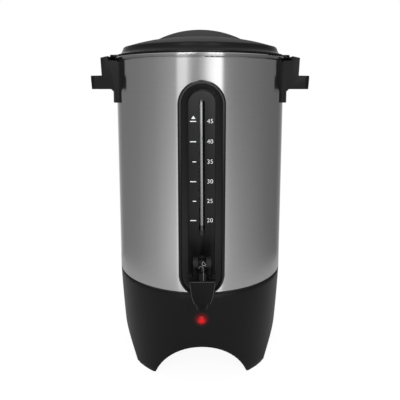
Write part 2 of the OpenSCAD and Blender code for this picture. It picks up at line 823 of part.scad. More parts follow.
module bezel_screw() {
    seat = wall_at(screw_washer_r) - screw_washer_t;
    color(steel) {
        front_rod(screw_head_r, seat - screw_head_h, seat, bezel_screw_z);
        front_rod(bezel_screw_r, seat - e, tank_r + 5.5, bezel_screw_z);
    }
}

module bezel_washer() {
    seat = wall_at(screw_washer_r);
    color("#8c3b2e")
        front_ring(screw_washer_r, bezel_screw_r + run_gap, seat - screw_washer_t, seat, bezel_screw_z);
}

module gauge_tube() {
    color("lightcyan", 0.5) translate([0, -tube_d, 0])
        ring(tube_r, tube_r - tube_wall, tube_low_z, tube_high_z);
}

module gauge_cap() {
    color("#1a1a1a") translate([0, -tube_d, 0]) difference() {
        union() {
            ring(tube_r - tube_wall - run_gap, 0, tube_high_z - 5, tube_high_z + e);
            ring(tube_r + 0.1, 0, tube_high_z, tube_high_z + cap_h);
        }
        translate([0, 0, tube_high_z - 10]) cylinder(r = vent_r, h = 20);
    }
}

module gauge_collar() {
    color("#28282a") difference() {
        union() {
            front_rod(collar_r, collar_d, collar_d + collar_t, shank_z);
            translate([0, -tube_d, shank_z + shank_r])
                cylinder(r = socket_r, h = socket_top_z - shank_z - shank_r);
        }
        front_rod(shank_r + run_gap, collar_d - 5, collar_d + collar_t + 5, shank_z);
        // flat back that lies on the washer
        translate([-collar_r, -collar_d, shank_z])
            cube([2 * collar_r, 10, 2 * collar_r + socket_top_z - shank_z]);
        translate([0, -tube_d, shank_z]) cylinder(r = tube_r - tube_wall, h = socket_top_z);
        translate([0, -tube_d, tube_low_z]) cylinder(r = tube_r + run_gap, h = socket_top_z);
    }
}

module gauge_seal() {
    color("#111112") translate([0, -tube_d, 0])
        ring(socket_r, tube_r + 0.02, socket_top_z, socket_top_z + seal_h);
}

module gauge_sleeve() {
    color("#111112") translate([0, -tube_d, 0])
        ring(socket_r, tube_r + 0.02, slot_low_z - 0.8, slot_low_z - 0.8 + sleeve_h);
}

// ---------- Tap ----------

module tap_body() {
    flange_d = face_d + tap_washer_t;
    color(black) difference() {
        union() {
            front_rod(shank_r, shank_in_d, valve_d, shank_z);
            front_rod(tap_flange_r, flange_d, flange_d + tap_flange_t, shank_z);
            translate([0, -valve_d, 0]) rotate_extrude() polygon([
                [0, tip_z], [outlet_tip_r, tip_z], [cone_r, cone_z], [valve_r, cone_z + 4],
                [valve_r, valve_top_z - 5], [valve_r + 1, valve_top_z - 4], [valve_r + 1, valve_top_z],
                [0, valve_top_z]
            ]);
        }
        translate([0, -valve_d, tip_z - 1]) cylinder(r = outlet_r, h = seat_z - tip_z + 2);
        translate([0, -valve_d, seat_z]) cylinder(r = chamber_r, h = valve_h);
        front_rod(flow_r, shank_in_d - 5, valve_d, shank_z);
        translate([0, -tube_d, shank_z]) cylinder(r = tube_r - tube_wall, h = shank_r + 3);
    }
}

module tap_washer_outer() {
    color("#8c3b2e") front_ring(tap_washer_r, shank_r + run_gap, face_d, face_d + tap_washer_t, shank_z);
}

module collar_washer() {
    color("#8c3b2e") front_ring(collar_r, shank_r + run_gap, tank_r, collar_d, shank_z);
}

module tap_washer_inner() {
    color("#8c3b2e")
        front_ring(inner_washer_r, shank_r + run_gap, inner_seat_d - inner_washer_t, inner_seat_d, shank_z);
}

module tap_nut() {
    color(steel) translate([0, inner_washer_t - inner_seat_d, shank_z]) rotate([-90, 0, 0])
        hex_nut(tap_nut_r, shank_r + run_gap, tap_nut_t);
}

module tap_bonnet() {
    cheek_w = cheek_out - cheek_in;
    top_z = valve_top_z + bonnet_t;
    color(black) difference() {
        union() {
            translate([0, -valve_d, 0]) {
                ring(bonnet_r, 0, valve_top_z, top_z);
                ring(chamber_r - fit_gap, 0, valve_top_z - bonnet_plug_l, valve_top_z + e);
            }
            // wings to turn the bonnet by hand
            for (x = [-wing_x, bonnet_r - 0.5]) translate([x, -valve_d - 2.5, valve_top_z - 2])
                cube([wing_x - bonnet_r + 0.5, 5, 8]);
            // cheeks that carry the lever's pin
            for (x = [-cheek_out, cheek_in]) translate([x, 0, 0]) {
                translate([0, -pin_d, pin_z]) rotate([0, 90, 0]) cylinder(r = cheek_r, h = cheek_w);
                translate([0, -pin_d + 1.5, top_z - 1]) cube([cheek_w, cheek_r - 1.5, pin_z - top_z + 1]);
            }
        }
        translate([0, -valve_d, valve_top_z - 10]) cylinder(r = stem_r + run_gap, h = 20);
        translate([-cheek_out - 1, -pin_d, pin_z]) rotate([0, 90, 0])
            cylinder(r = pin_r + 0.02, h = 2 * cheek_out + 2);
    }
}

module tap_stem() {
    color(steel) translate([0, -valve_d, 0]) {
        ring(stem_r, 0, seat_z + 1.2, head_z + e);
        ring(head_r, 0, head_z, head_z + head_h);
    }
}

module tap_seat_cup() {
    low = seat_z + 0.2;
    color("#c8c4bc") translate([0, -valve_d, 0]) difference() {
        rotate_extrude() polygon([
            [0, low], [seat_cup_r, low], [seat_cup_r, low + 2.5], [4.2, low + seat_cup_h], [0, low + seat_cup_h]
        ]);
        translate([0, 0, low + 1]) cylinder(r = stem_r + 0.02, h = seat_cup_h);
    }
}

// A helical spring as one swept tube, with flat ends
module tap_spring() {
    low = seat_z + 0.2 + seat_cup_h + spring_wire_r + 0.05;
    high = valve_top_z - bonnet_plug_l - spring_wire_r - 0.05;
    steps = spring_turns * 16;
    sides = 8;
    function along(i, k) =
        let (a = 22.5 * i, b = 360 * k / sides, r = spring_coil_r + spring_wire_r * cos(b))
        [r * cos(a), r * sin(a), low + (high - low) * i / steps + spring_wire_r * sin(b)];
    color(steel) translate([0, -valve_d, 0]) polyhedron(
        points = [for (i = [0 : steps], k = [0 : sides - 1]) along(i, k)],
        faces = concat(
            [[for (k = [0 : sides - 1]) k]],
            [for (i = [0 : steps - 1], k = [0 : sides - 1])
                let (next = (k + 1) % sides)
                [i * sides + k, (i + 1) * sides + k, (i + 1) * sides + next, i * sides + next]],
            [[for (k = [sides - 1 : -1 : 0]) steps * sides + k]]
        )
    );
}

module tap_lever() {
    low_z = deck_z - paddle_l;
    color(black) difference() {
        union() {
            translate([-hub_half_w, -pin_d, pin_z]) rotate([0, 90, 0]) cylinder(r = hub_r, h = 2 * hub_half_w);
            // prongs under the stem's head
            for (x = [-hub_half_w, prong_in]) translate([x, 0, pin_z + nose_up]) {
                translate([0, -valve_d, 0]) rotate([0, 90, 0]) cylinder(r = nose_r, h = hub_half_w - prong_in);
                translate([0, -pin_d, -1]) cube([hub_half_w - prong_in, lever_arm, 1.8]);
            }
            // arm, rib, deck and thumb plate
            translate([-hub_half_w, -paddle_d - paddle_t, deck_z])
                cube([2 * hub_half_w, paddle_d + paddle_t - pin_d, pin_z - deck_z - 6]);
            translate([-hub_half_w, -pin_d - hub_r, deck_z])
                cube([2 * hub_half_w, 2 * hub_r - 1.5, pin_z - deck_z]);
            translate([rib_half_w, 0, 0]) rotate([90, 0, -90]) linear_extrude(2 * rib_half_w) polygon([
                [pin_d, pin_z + hub_r], [pin_d + 2, pin_z + hub_r], [paddle_d + paddle_t, deck_z + deck_t],
                [paddle_d + paddle_t, deck_z], [pin_d, deck_z]
            ]);
            translate([-paddle_half_w, -paddle_d - paddle_t, deck_z - deck_t])
                cube([2 * paddle_half_w, paddle_d + paddle_t - pin_d - cheek_r - 1.6, deck_t]);
            translate([-paddle_half_w, -paddle_d - paddle_t - ledge_out, deck_z - 1.5])
                cube([2 * paddle_half_w, ledge_out + 1, 1.5]);
            front_plate([
                [-paddle_half_w, deck_z - 0.5], [-paddle_half_w * 0.89, deck_z - paddle_l * 0.5],
                [-paddle_half_w * 0.77, deck_z - paddle_l * 0.78], [-paddle_half_w * 0.62, low_z],
                [paddle_half_w * 0.62, low_z], [paddle_half_w * 0.77, deck_z - paddle_l * 0.78],
                [paddle_half_w * 0.89, deck_z - paddle_l * 0.5], [paddle_half_w, deck_z - 0.5]
            ], paddle_d, paddle_d + paddle_t);
        }
        translate([-20, -pin_d, pin_z]) rotate([0, 90, 0]) cylinder(r = pin_r + run_gap, h = 40);
    }
}

module tap_pin() {
    color(steel) translate([-cheek_out - 0.4, -pin_d, pin_z]) rotate([0, 90, 0])
        cylinder(r = pin_r, h = 2 * cheek_out + 0.8);
}

// ---------- Handles ----------

module handle() {
    block_top_x = tank_r + block_reach;
    lip_x = tank_r + lip_reach;
    half_l = handle_l / 2;
    difference() {
        intersection() {
            union() {
                ring(flange_r, 0, handle_low_z, trough_z);
                rotate_extrude() polygon([[flange_r - 1, lip_z - 3], [flange_r, lip_z - 3],
                                          [flange_r + 3, lip_z], [flange_r - 1, lip_z]]);
                translate([0, half_l + 1, 0]) rotate([90, 0, 0]) linear_extrude(handle_l + 2) polygon([
                    [tank_r - 15, lip_z], [lip_x - 1.8, lip_z], [lip_x, lip_z + lip_h - 0.2],
                    [block_top_x - 0.9, lip_z + lip_h], [block_top_x, handle_out_z], [trough_x, handle_top_z],
                    [trough_x, trough_z], [tank_r - 15, trough_z]
                ]);
            }
            // plan outline with rounded outer corners
            translate([0, 0, handle_low_z - 1]) linear_extrude(handle_h + 10) {
                translate([tank_r - 25, -half_l]) square([lip_reach + 25 - handle_corner_r, handle_l]);
                translate([tank_r - 25, -half_l + handle_corner_r])
                    square([lip_reach + 25, handle_l - 2 * handle_corner_r]);
                for (side = [-1, 1]) translate([lip_x - handle_corner_r, side * (half_l - handle_corner_r)])
                    circle(r = handle_corner_r);
            }
        }
        translate([0, 0, handle_low_z - 5]) cylinder(r = tank_r, h = handle_h + 20);
        translate([0, 0, rim_z - rim_h - 0.6]) cylinder(r = rim_ro + 0.5, h = 20);
        // pocket for the lid's ear
        translate([tank_r - 10, -ear_w / 2 - 1.5, trough_z - 2.6])
            cube([ear_pocket_x - tank_r + 10, ear_w + 3, 20]);
        // finger hollow
        translate([tank_r + 7, -half_l + handle_wall, lip_z - 5])
            cube([lip_reach - 7 - handle_wall - 1.8, handle_l - 2 * handle_wall, lip_h + 5 - handle_wall]);
        for (a = [-handle_screw_a, handle_screw_a])
            radial_rod(a, handle_screw_r + run_gap, tank_r - 10, tank_r + 9, handle_screw_z);
    }
}

module handle_right() {
    color(black) handle();
}

module handle_left() {
    color(black) rotate([0, 0, 180]) handle();
}

module handle_screws() {
    seat = wall_at(screw_washer_r) - screw_washer_t;
    color(steel) for (a = [-handle_screw_a, handle_screw_a, 180 - handle_screw_a, 180 + handle_screw_a]) {
        radial_rod(a, screw_head_r, seat - screw_head_h, seat, handle_screw_z);
        radial_rod(a, handle_screw_r, seat - e, tank_r + 8.5, handle_screw_z);
    }
}

module handle_washers() {
    seat = wall_at(screw_washer_r);
    color("#8c3b2e") for (a = [-handle_screw_a, handle_screw_a, 180 - handle_screw_a, 180 + handle_screw_a])
        difference() {
            radial_rod(a, screw_washer_r, seat - screw_washer_t, seat, handle_screw_z);
            radial_rod(a, handle_screw_r + run_gap, seat - 5, seat + 5, handle_screw_z);
        }
}

// ---------- Lid ----------

// Points of the dome's half-section, lowered by the given amount, from the axis outward
function dome_points(drop) = [for (i = [0 : dome_steps])
    let (r = lid_shoulder_r * i / dome_steps) [r, dome_at(r) - drop]];

module lid_outside() {
    rotate_extrude() polygon(concat(
        dome_points(0),
        [[lid_wall_top_r - 1.4, lid_edge_z + 0.6], [lid_wall_top_r, lid_edge_z - 1.6],
         [lid_r, lid_wall_z + 1.6], [lid_r + 1.4, lid_wall_z + 0.4],
         [lid_flange_r, lid_wall_z - 0.4], [lid_flange_r, lid_z], [skirt_ro, lid_z],
         [skirt_ro, lid_z - lid_skirt_h], [0, lid_z - lid_skirt_h]]
    ));
}

module lid_inside() {
    skirt_ri = skirt_ro - skirt_t;
    rotate_extrude() polygon(concat(
        dome_points(lid_t),
        [[lid_wall_top_r - lid_t - 0.2, lid_edge_z - 2.2], [lid_r - lid_t, lid_wall_z], [skirt_ri, lid_z],
         [skirt_ri, lid_z - lid_skirt_h - 1], [0, lid_z - lid_skirt_h - 1]]
    ));
}

// A slab along X under the grip's arch, with the arch and the sides shrunk by the given amounts
module grip_slab(arch_shrink, side_shrink, low_z) {
    half_w = grip_w / 2 - side_shrink;
    intersection() {
        translate([0, half_w, grip_z - grip_arch_r]) rotate([90, 0, 0])
            cylinder(r = grip_arch_r - arch_shrink, h = 2 * half_w);
        translate([-grip_arch_r, -half_w - 1, low_z]) cube([2 * grip_arch_r, 2 * half_w + 2, 60]);
    }
}

// The two round-ended bars of radius r that shape the finger scoops
module scoop_bars(r) {
    for (side = [-1, 1]) translate([0, side * scoop_y, scoop_z]) rotate([0, 90, 0])
        rotate_extrude() polygon(concat(
            [for (a = [-90 : 15 : 0]) [r * cos(a), r * sin(a) - scoop_half_x]],
            [for (a = [0 : 15 : 90]) [r * cos(a), r * sin(a) + scoop_half_x]]
        ));
}

module lid() {
    wall_y = grip_w / 2 - lid_t;
    floor_r = scoop_tool_r + lid_t;
    floor_x = scoop_half_x + floor_r + 1;
    color(black) difference() {
        union() {
            difference() {
                lid_outside();
                scoop_bars(scoop_tool_r);
            }
            grip_slab(0, 0, dome_z - dome_drop - 6);
            // ears over the rolled rim
            for (side = [0, 180]) rotate([0, 0, side]) {
                translate([lid_r - 3, -ear_w / 2, lid_z + 0.2])
                    cube([ear_hook_x - lid_r + 3, ear_w, ear_top_z - lid_z - 0.2]);
                translate([rim_ro + 0.7, -ear_w / 2, ear_low_z])
                    cube([ear_hook_x - rim_ro - 0.7, ear_w, ear_top_z - ear_low_z]);
            }
        }
        // hollow underside, with a floor left under each scoop
        difference() {
            lid_inside();
            intersection() {
                scoop_bars(floor_r);
                for (side = [0, 180]) rotate([0, 0, side]) translate([-floor_x, wall_y, scoop_z - floor_r - 1])
                    cube([2 * floor_x, scoop_y + floor_r, 2 * floor_r]);
            }
        }
        grip_slab(lid_t, lid_t + 0.4, dome_z - dome_drop - 4);
    }
}

// ---------- Pump and basket ----------

module pump_stem() {
    color(steel) rotate_extrude() polygon([
        [pump_r - pump_wall, pump_z], [stem_foot_r, pump_z], [stem_foot_r, pump_z + pump_foot_h],
        [pump_r, pump_z + pump_foot_h], [pump_r, seat_collar_z], [pump_r + 3, seat_collar_z + seat_collar_h - 1],
        [pump_r + 3, seat_collar_z + seat_collar_h], [pump_r, seat_collar_z + seat_collar_h],
        [pump_r, pump_z + pump_l], [pump_r - pump_wall, pump_z + pump_l]
    ]);
}

module pump_bell() {
    color(steel) difference() {
        rotate_extrude() polygon([
            [bell_r, pump_z], [bell_r, pump_z + 2], [pump_r + 4, bell_top_z], [pump_r + 1.2, bell_top_z + 1],
            [pump_r + 1.2, bell_collar_z], [pump_r + 0.02, bell_collar_z], [pump_r + 0.02, bell_top_z - 1],
            [pump_r + 3, bell_top_z - 1.4], [bell_r - 1.2, pump_z + 1.6], [bell_r - 1.2, pump_z]
        ]);
        on_circle(6) translate([bell_r - 6, -2.5, pump_z - 1]) cube([12, 5, 2.4]);
    }
}

module pump_valve() {
    low = pump_z + pump_foot_h + valve_gap;
    color("#b0b0b4") ring(valve_disc_r, pump_r + 0.06, low, low + valve_disc_t);
}

module coffee_basket() {
    top = basket_z + basket_h;
    color("#c4c4c8") difference() {
        rotate_extrude() {
            translate([basket_tube_r, basket_z]) square([basket_r - basket_tube_r, sheet_t]);
            translate([basket_r - sheet_t, basket_z]) square([sheet_t, basket_h - 1]);
            translate([basket_r, top - 1.2]) circle(r = 1.2);
            translate([basket_tube_r, basket_z]) square([sheet_t, basket_h - 12]);
        }
        for (row = [0 : 3]) on_circle(10 + 6 * row) translate([20 + 13 * row, 0, basket_z - 1])
            cylinder(r = 1.4, h = sheet_t + 2);
    }
}

module basket_cover() {
    boss_r = 14;
    boss_h = 4;
    edge_h = 6;
    slope = 0.6 * sheet_t;
    color("#c4c4c8") difference() {
        rotate_extrude() polygon([
            [pump_r + 1, cover_z + boss_h], [boss_r, cover_z + boss_h], [boss_r + boss_h, cover_z],
            [cover_r, cover_z], [cover_r, cover_z + edge_h], [cover_r - sheet_t, cover_z + edge_h],
            [cover_r - sheet_t, cover_z + sheet_t], [boss_r + boss_h + slope, cover_z + sheet_t],
            [boss_r + slope, cover_z + boss_h + sheet_t], [pump_r + 1, cover_z + boss_h + sheet_t]
        ]);
        for (row = [0 : 2]) on_circle(14 + 6 * row) translate([28 + 14 * row, 0, cover_z - 1])
            cylinder(r = 1.5, h = sheet_t + 2);
    }
}

tank();
base_studs();
stud_nuts();
base_skirt();
base_gasket();
foot_pads();
base_floor();
floor_screws();
cord_gland();
pilot_lens();
pilot_holder();
pilot_lamp();
heater_well();
pump_heater();
heater_clamp();
heater_nuts();
shield_spacer();
heat_shield();
warm_heater();
thermostat();
thermal_fuse();
terminal_block();
wiring();
gauge_bezel();
bezel_screw();
bezel_washer();
gauge_tube();
gauge_cap();
gauge_collar();
gauge_seal();
gauge_sleeve();
tap_body();
tap_washer_outer();
collar_washer();
tap_washer_inner();
tap_nut();
tap_bonnet();
tap_stem();
tap_seat_cup();
tap_spring();
tap_lever();
tap_pin();
handle_right();
handle_left();
handle_screws();
handle_washers();
lid();
pump_stem();
pump_bell();
pump_valve();
coffee_basket();
basket_cover();
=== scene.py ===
"""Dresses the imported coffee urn: its lights, camera, materials and finely shaped pieces."""

import json
import math

import bmesh
import bpy
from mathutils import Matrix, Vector

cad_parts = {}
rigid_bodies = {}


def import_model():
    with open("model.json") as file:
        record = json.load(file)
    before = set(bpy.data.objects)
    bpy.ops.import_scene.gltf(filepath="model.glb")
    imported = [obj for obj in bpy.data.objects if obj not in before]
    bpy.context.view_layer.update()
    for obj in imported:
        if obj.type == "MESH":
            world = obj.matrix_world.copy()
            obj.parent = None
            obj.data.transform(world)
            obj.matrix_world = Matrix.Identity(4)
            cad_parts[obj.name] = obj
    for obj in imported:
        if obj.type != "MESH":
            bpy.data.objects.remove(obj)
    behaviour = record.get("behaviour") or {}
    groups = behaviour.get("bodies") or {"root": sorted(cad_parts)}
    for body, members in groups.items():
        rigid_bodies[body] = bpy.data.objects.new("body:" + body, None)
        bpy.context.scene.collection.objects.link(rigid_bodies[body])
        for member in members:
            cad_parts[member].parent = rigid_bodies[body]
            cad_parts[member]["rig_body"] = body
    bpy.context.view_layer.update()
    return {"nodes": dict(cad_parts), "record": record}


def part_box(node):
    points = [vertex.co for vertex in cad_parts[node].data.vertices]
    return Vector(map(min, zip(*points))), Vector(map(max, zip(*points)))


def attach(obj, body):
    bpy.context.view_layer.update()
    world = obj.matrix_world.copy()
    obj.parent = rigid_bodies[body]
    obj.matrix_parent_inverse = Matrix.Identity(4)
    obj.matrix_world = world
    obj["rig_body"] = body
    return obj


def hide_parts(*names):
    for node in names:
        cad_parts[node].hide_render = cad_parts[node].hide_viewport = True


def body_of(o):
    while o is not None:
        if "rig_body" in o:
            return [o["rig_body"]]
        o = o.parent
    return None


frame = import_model()
MM = 0.001
NODES = frame["nodes"]

# ---------- The photograph's camera, in the part's frame (mm and degrees) ----------
CAM_DISTANCE = 602.55
CAM_HEIGHT = 347.75
CAM_PITCH = 8.355
CAM_YAW = -0.95
CAM_LENS = 41.131
CAM_SENSOR = 36.0
CAM_SHIFT_Y = -0.11

# ---------- Sizes read from the frame, in millimetres ----------


def corners(node):
    """The low and high corner of a CAD node's box."""
    low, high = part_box(node)
    return low / MM, high / MM


TANK_LOW, TANK_HIGH = corners("tank")
BEZEL_LOW, BEZEL_HIGH = corners("gauge_bezel")
PILOT_LOW, PILOT_HIGH = corners("pilot_lens")
PILOT_MIDDLE = (PILOT_LOW + PILOT_HIGH) / 2
PILOT_R = (PILOT_HIGH.x - PILOT_LOW.x) / 2
RIM_R = TANK_HIGH.x
RIM_Z = TANK_HIGH.z
# how far the rolled rim stands out from the tank's wall
RIM_OUT = 1.2
PANEL_FACE_Y = BEZEL_LOW.y


# ---------- Node-building helpers ----------


class Shader:
    """Builds one node material; each method adds a node and returns its output socket."""

    def __init__(self, name, **sockets):
        self.material = bpy.data.materials.new(name)
        self.material.use_nodes = True
        self.tree = self.material.node_tree
        self.bsdf = self.tree.nodes["Principled BSDF"]
        for socket, value in sockets.items():
            self.bsdf.inputs[socket.replace("_", " ")].default_value = value

    def node(self, kind, **inputs):
        made = self.tree.nodes.new(kind)
        for key, value in inputs.items():
            socket = made.inputs[key.replace("_", " ")]
            if isinstance(value, bpy.types.NodeSocket):
                self.tree.links.new(value, socket)
            else:
                socket.default_value = value
        return made

    def place(self, stretch=(1, 1, 1)):
        """Object-space coordinates, scaled by stretch; the frame's objects all sit at the origin."""
        mapping = self.node("ShaderNodeMapping", Scale=stretch)
        coords = self.tree.nodes.new("ShaderNodeTexCoord")
        self.tree.links.new(coords.outputs["Object"], mapping.inputs["Vector"])
        return mapping.outputs["Vector"]

    def noise(self, scale, detail=3.0, roughness=0.55, stretch=(1, 1, 1)):
        made = self.node("ShaderNodeTexNoise", Vector=self.place(stretch), Scale=scale, Detail=detail,
                         Roughness=roughness)
        return made.outputs["Fac"]

    def rings(self, per_metre, detail=3.0):
        """Noise that changes with height alone, so its lines run level round the object."""
        split = self.node("ShaderNodeSeparateXYZ", Vector=self.place((1, 1, per_metre)))
        made = self.tree.nodes.new("ShaderNodeTexNoise")
        made.noise_dimensions = "1D"
        self.tree.links.new(split.outputs["Z"], made.inputs["W"])
        made.inputs["Scale"].default_value = 1.0
        made.inputs["Detail"].default_value = detail
        return made.outputs["Fac"]

    def between(self, value, low, high):
        """Maps a 0-1 value to the range from low to high."""
        made = self.node("ShaderNodeMapRange", Value=value)
        made.inputs["To Min"].default_value = low
        made.inputs["To Max"].default_value = high
        return made.outputs["Result"]

    def ramp(self, value, stops):
        made = self.node("ShaderNodeValToRGB", Fac=value)
        elements = made.color_ramp.elements
        while len(elements) < len(stops):
            elements.new(0.5)
        for element, (at, colour) in zip(elements, stops):
            element.position = at
            element.color = (*colour, 1.0)
        return made.outputs["Color"]

    def by_height(self, stops):
        """A grey that changes with height; stops are (mm above the floor, level)."""
        low, high = stops[0][0], stops[-1][0]
        share = self.step(self.axes()["Z"], low, high)
        return self.ramp(share, [((z - low) / (high - low), grey(level)) for z, level in stops])

    def mixed(self, share, tone, colour, blend="MIX"):
        """Blends tone with colour by share; share and colour may be sockets or constants."""
        made = self.tree.nodes.new("ShaderNodeMix")
        made.data_type = "RGBA"
        made.blend_type = blend
        self.tree.links.new(tone, made.inputs["A"])
        for key, value in (("Factor", share), ("B", colour)):
            if isinstance(value, bpy.types.NodeSocket):
                self.tree.links.new(value, made.inputs[key])
            else:
                made.inputs[key].default_value = (*value, 1.0) if key == "B" else value
        return made.outputs["Result"]

    def tinted(self, tone, colour):
        """The product of two colours; the second may be a constant."""
        return self.mixed(1.0, tone, colour, "MULTIPLY")

    def axes(self):
        """The X, Y and Z of a point in the part's frame, in metres."""
        return self.node("ShaderNodeSeparateXYZ", Vector=self.place()).outputs

    def radius(self):
        """Distance from the part's upright axis, in metres."""
        spot = self.axes()
        flat = self.node("ShaderNodeCombineXYZ", X=spot["X"], Y=spot["Y"])
        length = self.node("ShaderNodeVectorMath", Vector=flat.outputs["Vector"])
        length.operation = "LENGTH"
        return length.outputs["Value"]

    def reach(self, low, high, x=0.0):
        """Distance in metres, seen from the front, from an upright line at x from low to high (mm)."""
        here = self.axes()
        level = self.node("ShaderNodeClamp", Value=here["Z"], Min=low * MM, Max=high * MM)
        on_line = self.node("ShaderNodeCombineXYZ", X=x * MM, Z=level.outputs["Result"])
        spot = self.node("ShaderNodeCombineXYZ", X=here["X"], Z=here["Z"])
        apart = self.tree.nodes.new("ShaderNodeVectorMath")
        apart.operation = "DISTANCE"
        self.tree.links.new(spot.outputs["Vector"], apart.inputs[0])
        self.tree.links.new(on_line.outputs["Vector"], apart.inputs[1])
        return apart.outputs["Value"]

    def step(self, value, low, high):
        """0 below low and 1 above high (mm), with a straight change between them."""
        made = self.node("ShaderNodeMapRange", Value=value)
        made.inputs["From Min"].default_value = low * MM
        made.inputs["From Max"].default_value = high * MM
        return made.outputs["Result"]

    def off_pilot(self, low, high):
        """0 within low and 1 beyond high (mm) of the pilot lens's middle, seen from the front."""
        return self.step(self.reach(PILOT_MIDDLE.z, PILOT_MIDDLE.z, PILOT_MIDDLE.x), low, high)

    def flow_marks(self):
        """The flow marks of moulded plastic: their pattern, and faint shades to multiply a colour by."""
        flow = self.noise(22.0, 3.0, 0.5, stretch=(1, 1, 0.4))
        return flow, self.ramp(flow, [(0.3, grey(0.88)), (0.7, grey(1.0))])

    def feed(self, socket, value):
        self.tree.links.new(value, self.bsdf.inputs[socket])

    def bump(self, height, strength, distance, edge=0.0):
        """Adds surface relief, and rounds hard edges by edge metres when it is above zero."""
        made = self.node("ShaderNodeBump", Height=height, Strength=strength, Distance=distance)
        if edge > 0:
            rounded = self.node("ShaderNodeBevel", Radius=edge)
            rounded.samples = 6
            self.tree.links.new(rounded.outputs["Normal"], made.inputs["Normal"])
        self.feed("Normal", made.outputs["Normal"])


def grey(level):
    return (level, level, level)


# ---------- Materials ----------

# Shade on the outside of the rolled rim and just under it, as (mm above the rim's top, share of the steel's
# tone). The lower half of the roll turns away from the light and shades the wall below it.
RIM_SHADE = [(-5.1, 1.0), (-4.9, 0.3), (-4.3, 0.35), (-3.8, 0.75), (-1.3, 0.75), (-0.8, 1.0), (0.0, 1.0)]


def tank_steel():
    """Stainless sheet polished round its axis: fine level lines, faint smudges and a tall, narrow sheen."""
    made = Shader("tank_steel", Metallic=1.0, Anisotropic=0.85, Anisotropic_Rotation=0.25)
    lines = made.rings(1600.0, 4.0)
    smudges = made.noise(14.0, 3.0, 0.6)
    sheet = made.ramp(lines, [(0.3, grey(0.57)), (0.7, grey(0.63))])
    rolled = made.by_height([(TANK_LOW.z, 1.0)] + [(RIM_Z + z, share) for z, share in RIM_SHADE])
    wall_r = RIM_R - RIM_OUT
    inside = made.step(made.radius(), wall_r - 0.2, wall_r - 0.4)
    made.feed("Base Color", made.tinted(sheet, made.mixed(inside, rolled, grey(1.0))))
    made.feed("Roughness", made.between(smudges, 0.13, 0.21))
    tangent = made.tree.nodes.new("ShaderNodeTangent")
    tangent.direction_type = "RADIAL"
    tangent.axis = "Z"
    made.feed("Tangent", tangent.outputs["Tangent"])
    made.bump(lines, 0.05, 0.0001)
    return made.material


def plain_steel(name, level=0.6, rough=0.3):
    """Plated or turned steel for fasteners and small metal pieces."""
    made = Shader(name, Metallic=1.0)
    wear = made.noise(90.0, 4.0, 0.6)
    made.feed("Base Color", made.ramp(wear, [(0.3, grey(level * 0.85)), (0.7, grey(level * 1.05))]))
    made.feed("Roughness", made.between(wear, rough - 0.06, rough + 0.1))
    made.bump(made.noise(900.0, 2.0), 0.1, 0.0002, edge=0.0003)
    return made.material


def pressed_alloy(name, level=0.72, rough=0.36):
    """Spun aluminium sheet with fine turning lines round the axis."""
    made = Shader(name, Metallic=1.0)
    rings = made.noise(3.0, 4.0, 0.7, stretch=(60, 60, 260))
    made.feed("Base Color", made.ramp(rings, [(0.25, grey(level * 0.88)), (0.75, grey(level))]))
    made.feed("Roughness", made.between(rings, rough - 0.06, rough + 0.08))
    made.bump(rings, 0.12, 0.0003, edge=0.0004)
    return made.material


# How far the pilot lens's painted glow reaches on the plastic round it, and how deep behind the lens
GLOW_REACH = 5.5
GLOW_DEPTH = 6.0


def pilot_glow(made):
    """The red light that the lit pilot lens throws on the plastic round it, painted on as a glow of the
    plastic.
    """
    light = made.ramp(made.off_pilot(PILOT_R - 0.5, PILOT_R + GLOW_REACH), [
        (0.0, (0.16, 0.004, 0.004)), (0.3, (0.05, 0.001, 0.001)), (0.6, (0.012, 0.0, 0.0)), (1.0, grey(0.0))
    ])
    on_front = made.step(made.axes()["Y"], PILOT_HIGH.y + GLOW_DEPTH, PILOT_HIGH.y)
    made.feed("Emission Color", made.tinted(light, on_front))
    made.bsdf.inputs["Emission Strength"].default_value = 1.0


# Spark-eroded grain of the moulded plastic: grains per metre, and strength
PLASTIC_GRAIN = 1400.0
GRAIN_STRENGTH = 0.14


def moulded_black(name, level=0.01, rough=0.36, grain=PLASTIC_GRAIN, strength=GRAIN_STRENGTH, gloss=0.25,
                  heights=(), lit=False):
    """Black moulded plastic: a fine spark-eroded grain, faint flow marks and slightly worn gloss.

    Its grey is level, or changes with height where heights are given, as painted light and shade; lit adds a
    painted glow of the pilot lens's light.
    """
    made = Shader(name, Specular_IOR_Level=gloss)
    flow, tone = made.flow_marks()
    made.feed("Base Color", made.tinted(tone, made.by_height(heights) if heights else grey(level)))
    made.feed("Roughness", made.between(flow, rough - 0.03, rough + 0.05))
    made.bump(made.noise(grain, 2.0, 0.5), strength, 0.0002, edge=0.0006)
    if lit:
        pilot_glow(made)
    return made.material


# The gauge surround: the heights where its round ends have their middles, then by distance from the line
# between them the panel's edge and the lip's inner and outer edge
BEZEL_END_R = 26.0
BEZEL_CENTRES = (BEZEL_LOW.z + BEZEL_END_R, BEZEL_HIGH.z - BEZEL_END_R)
PANEL_EDGE = 14.8
LIP_INSIDE = 22.2
LIP_OUTSIDE = 24.3
HALF_BLEND = 0.25


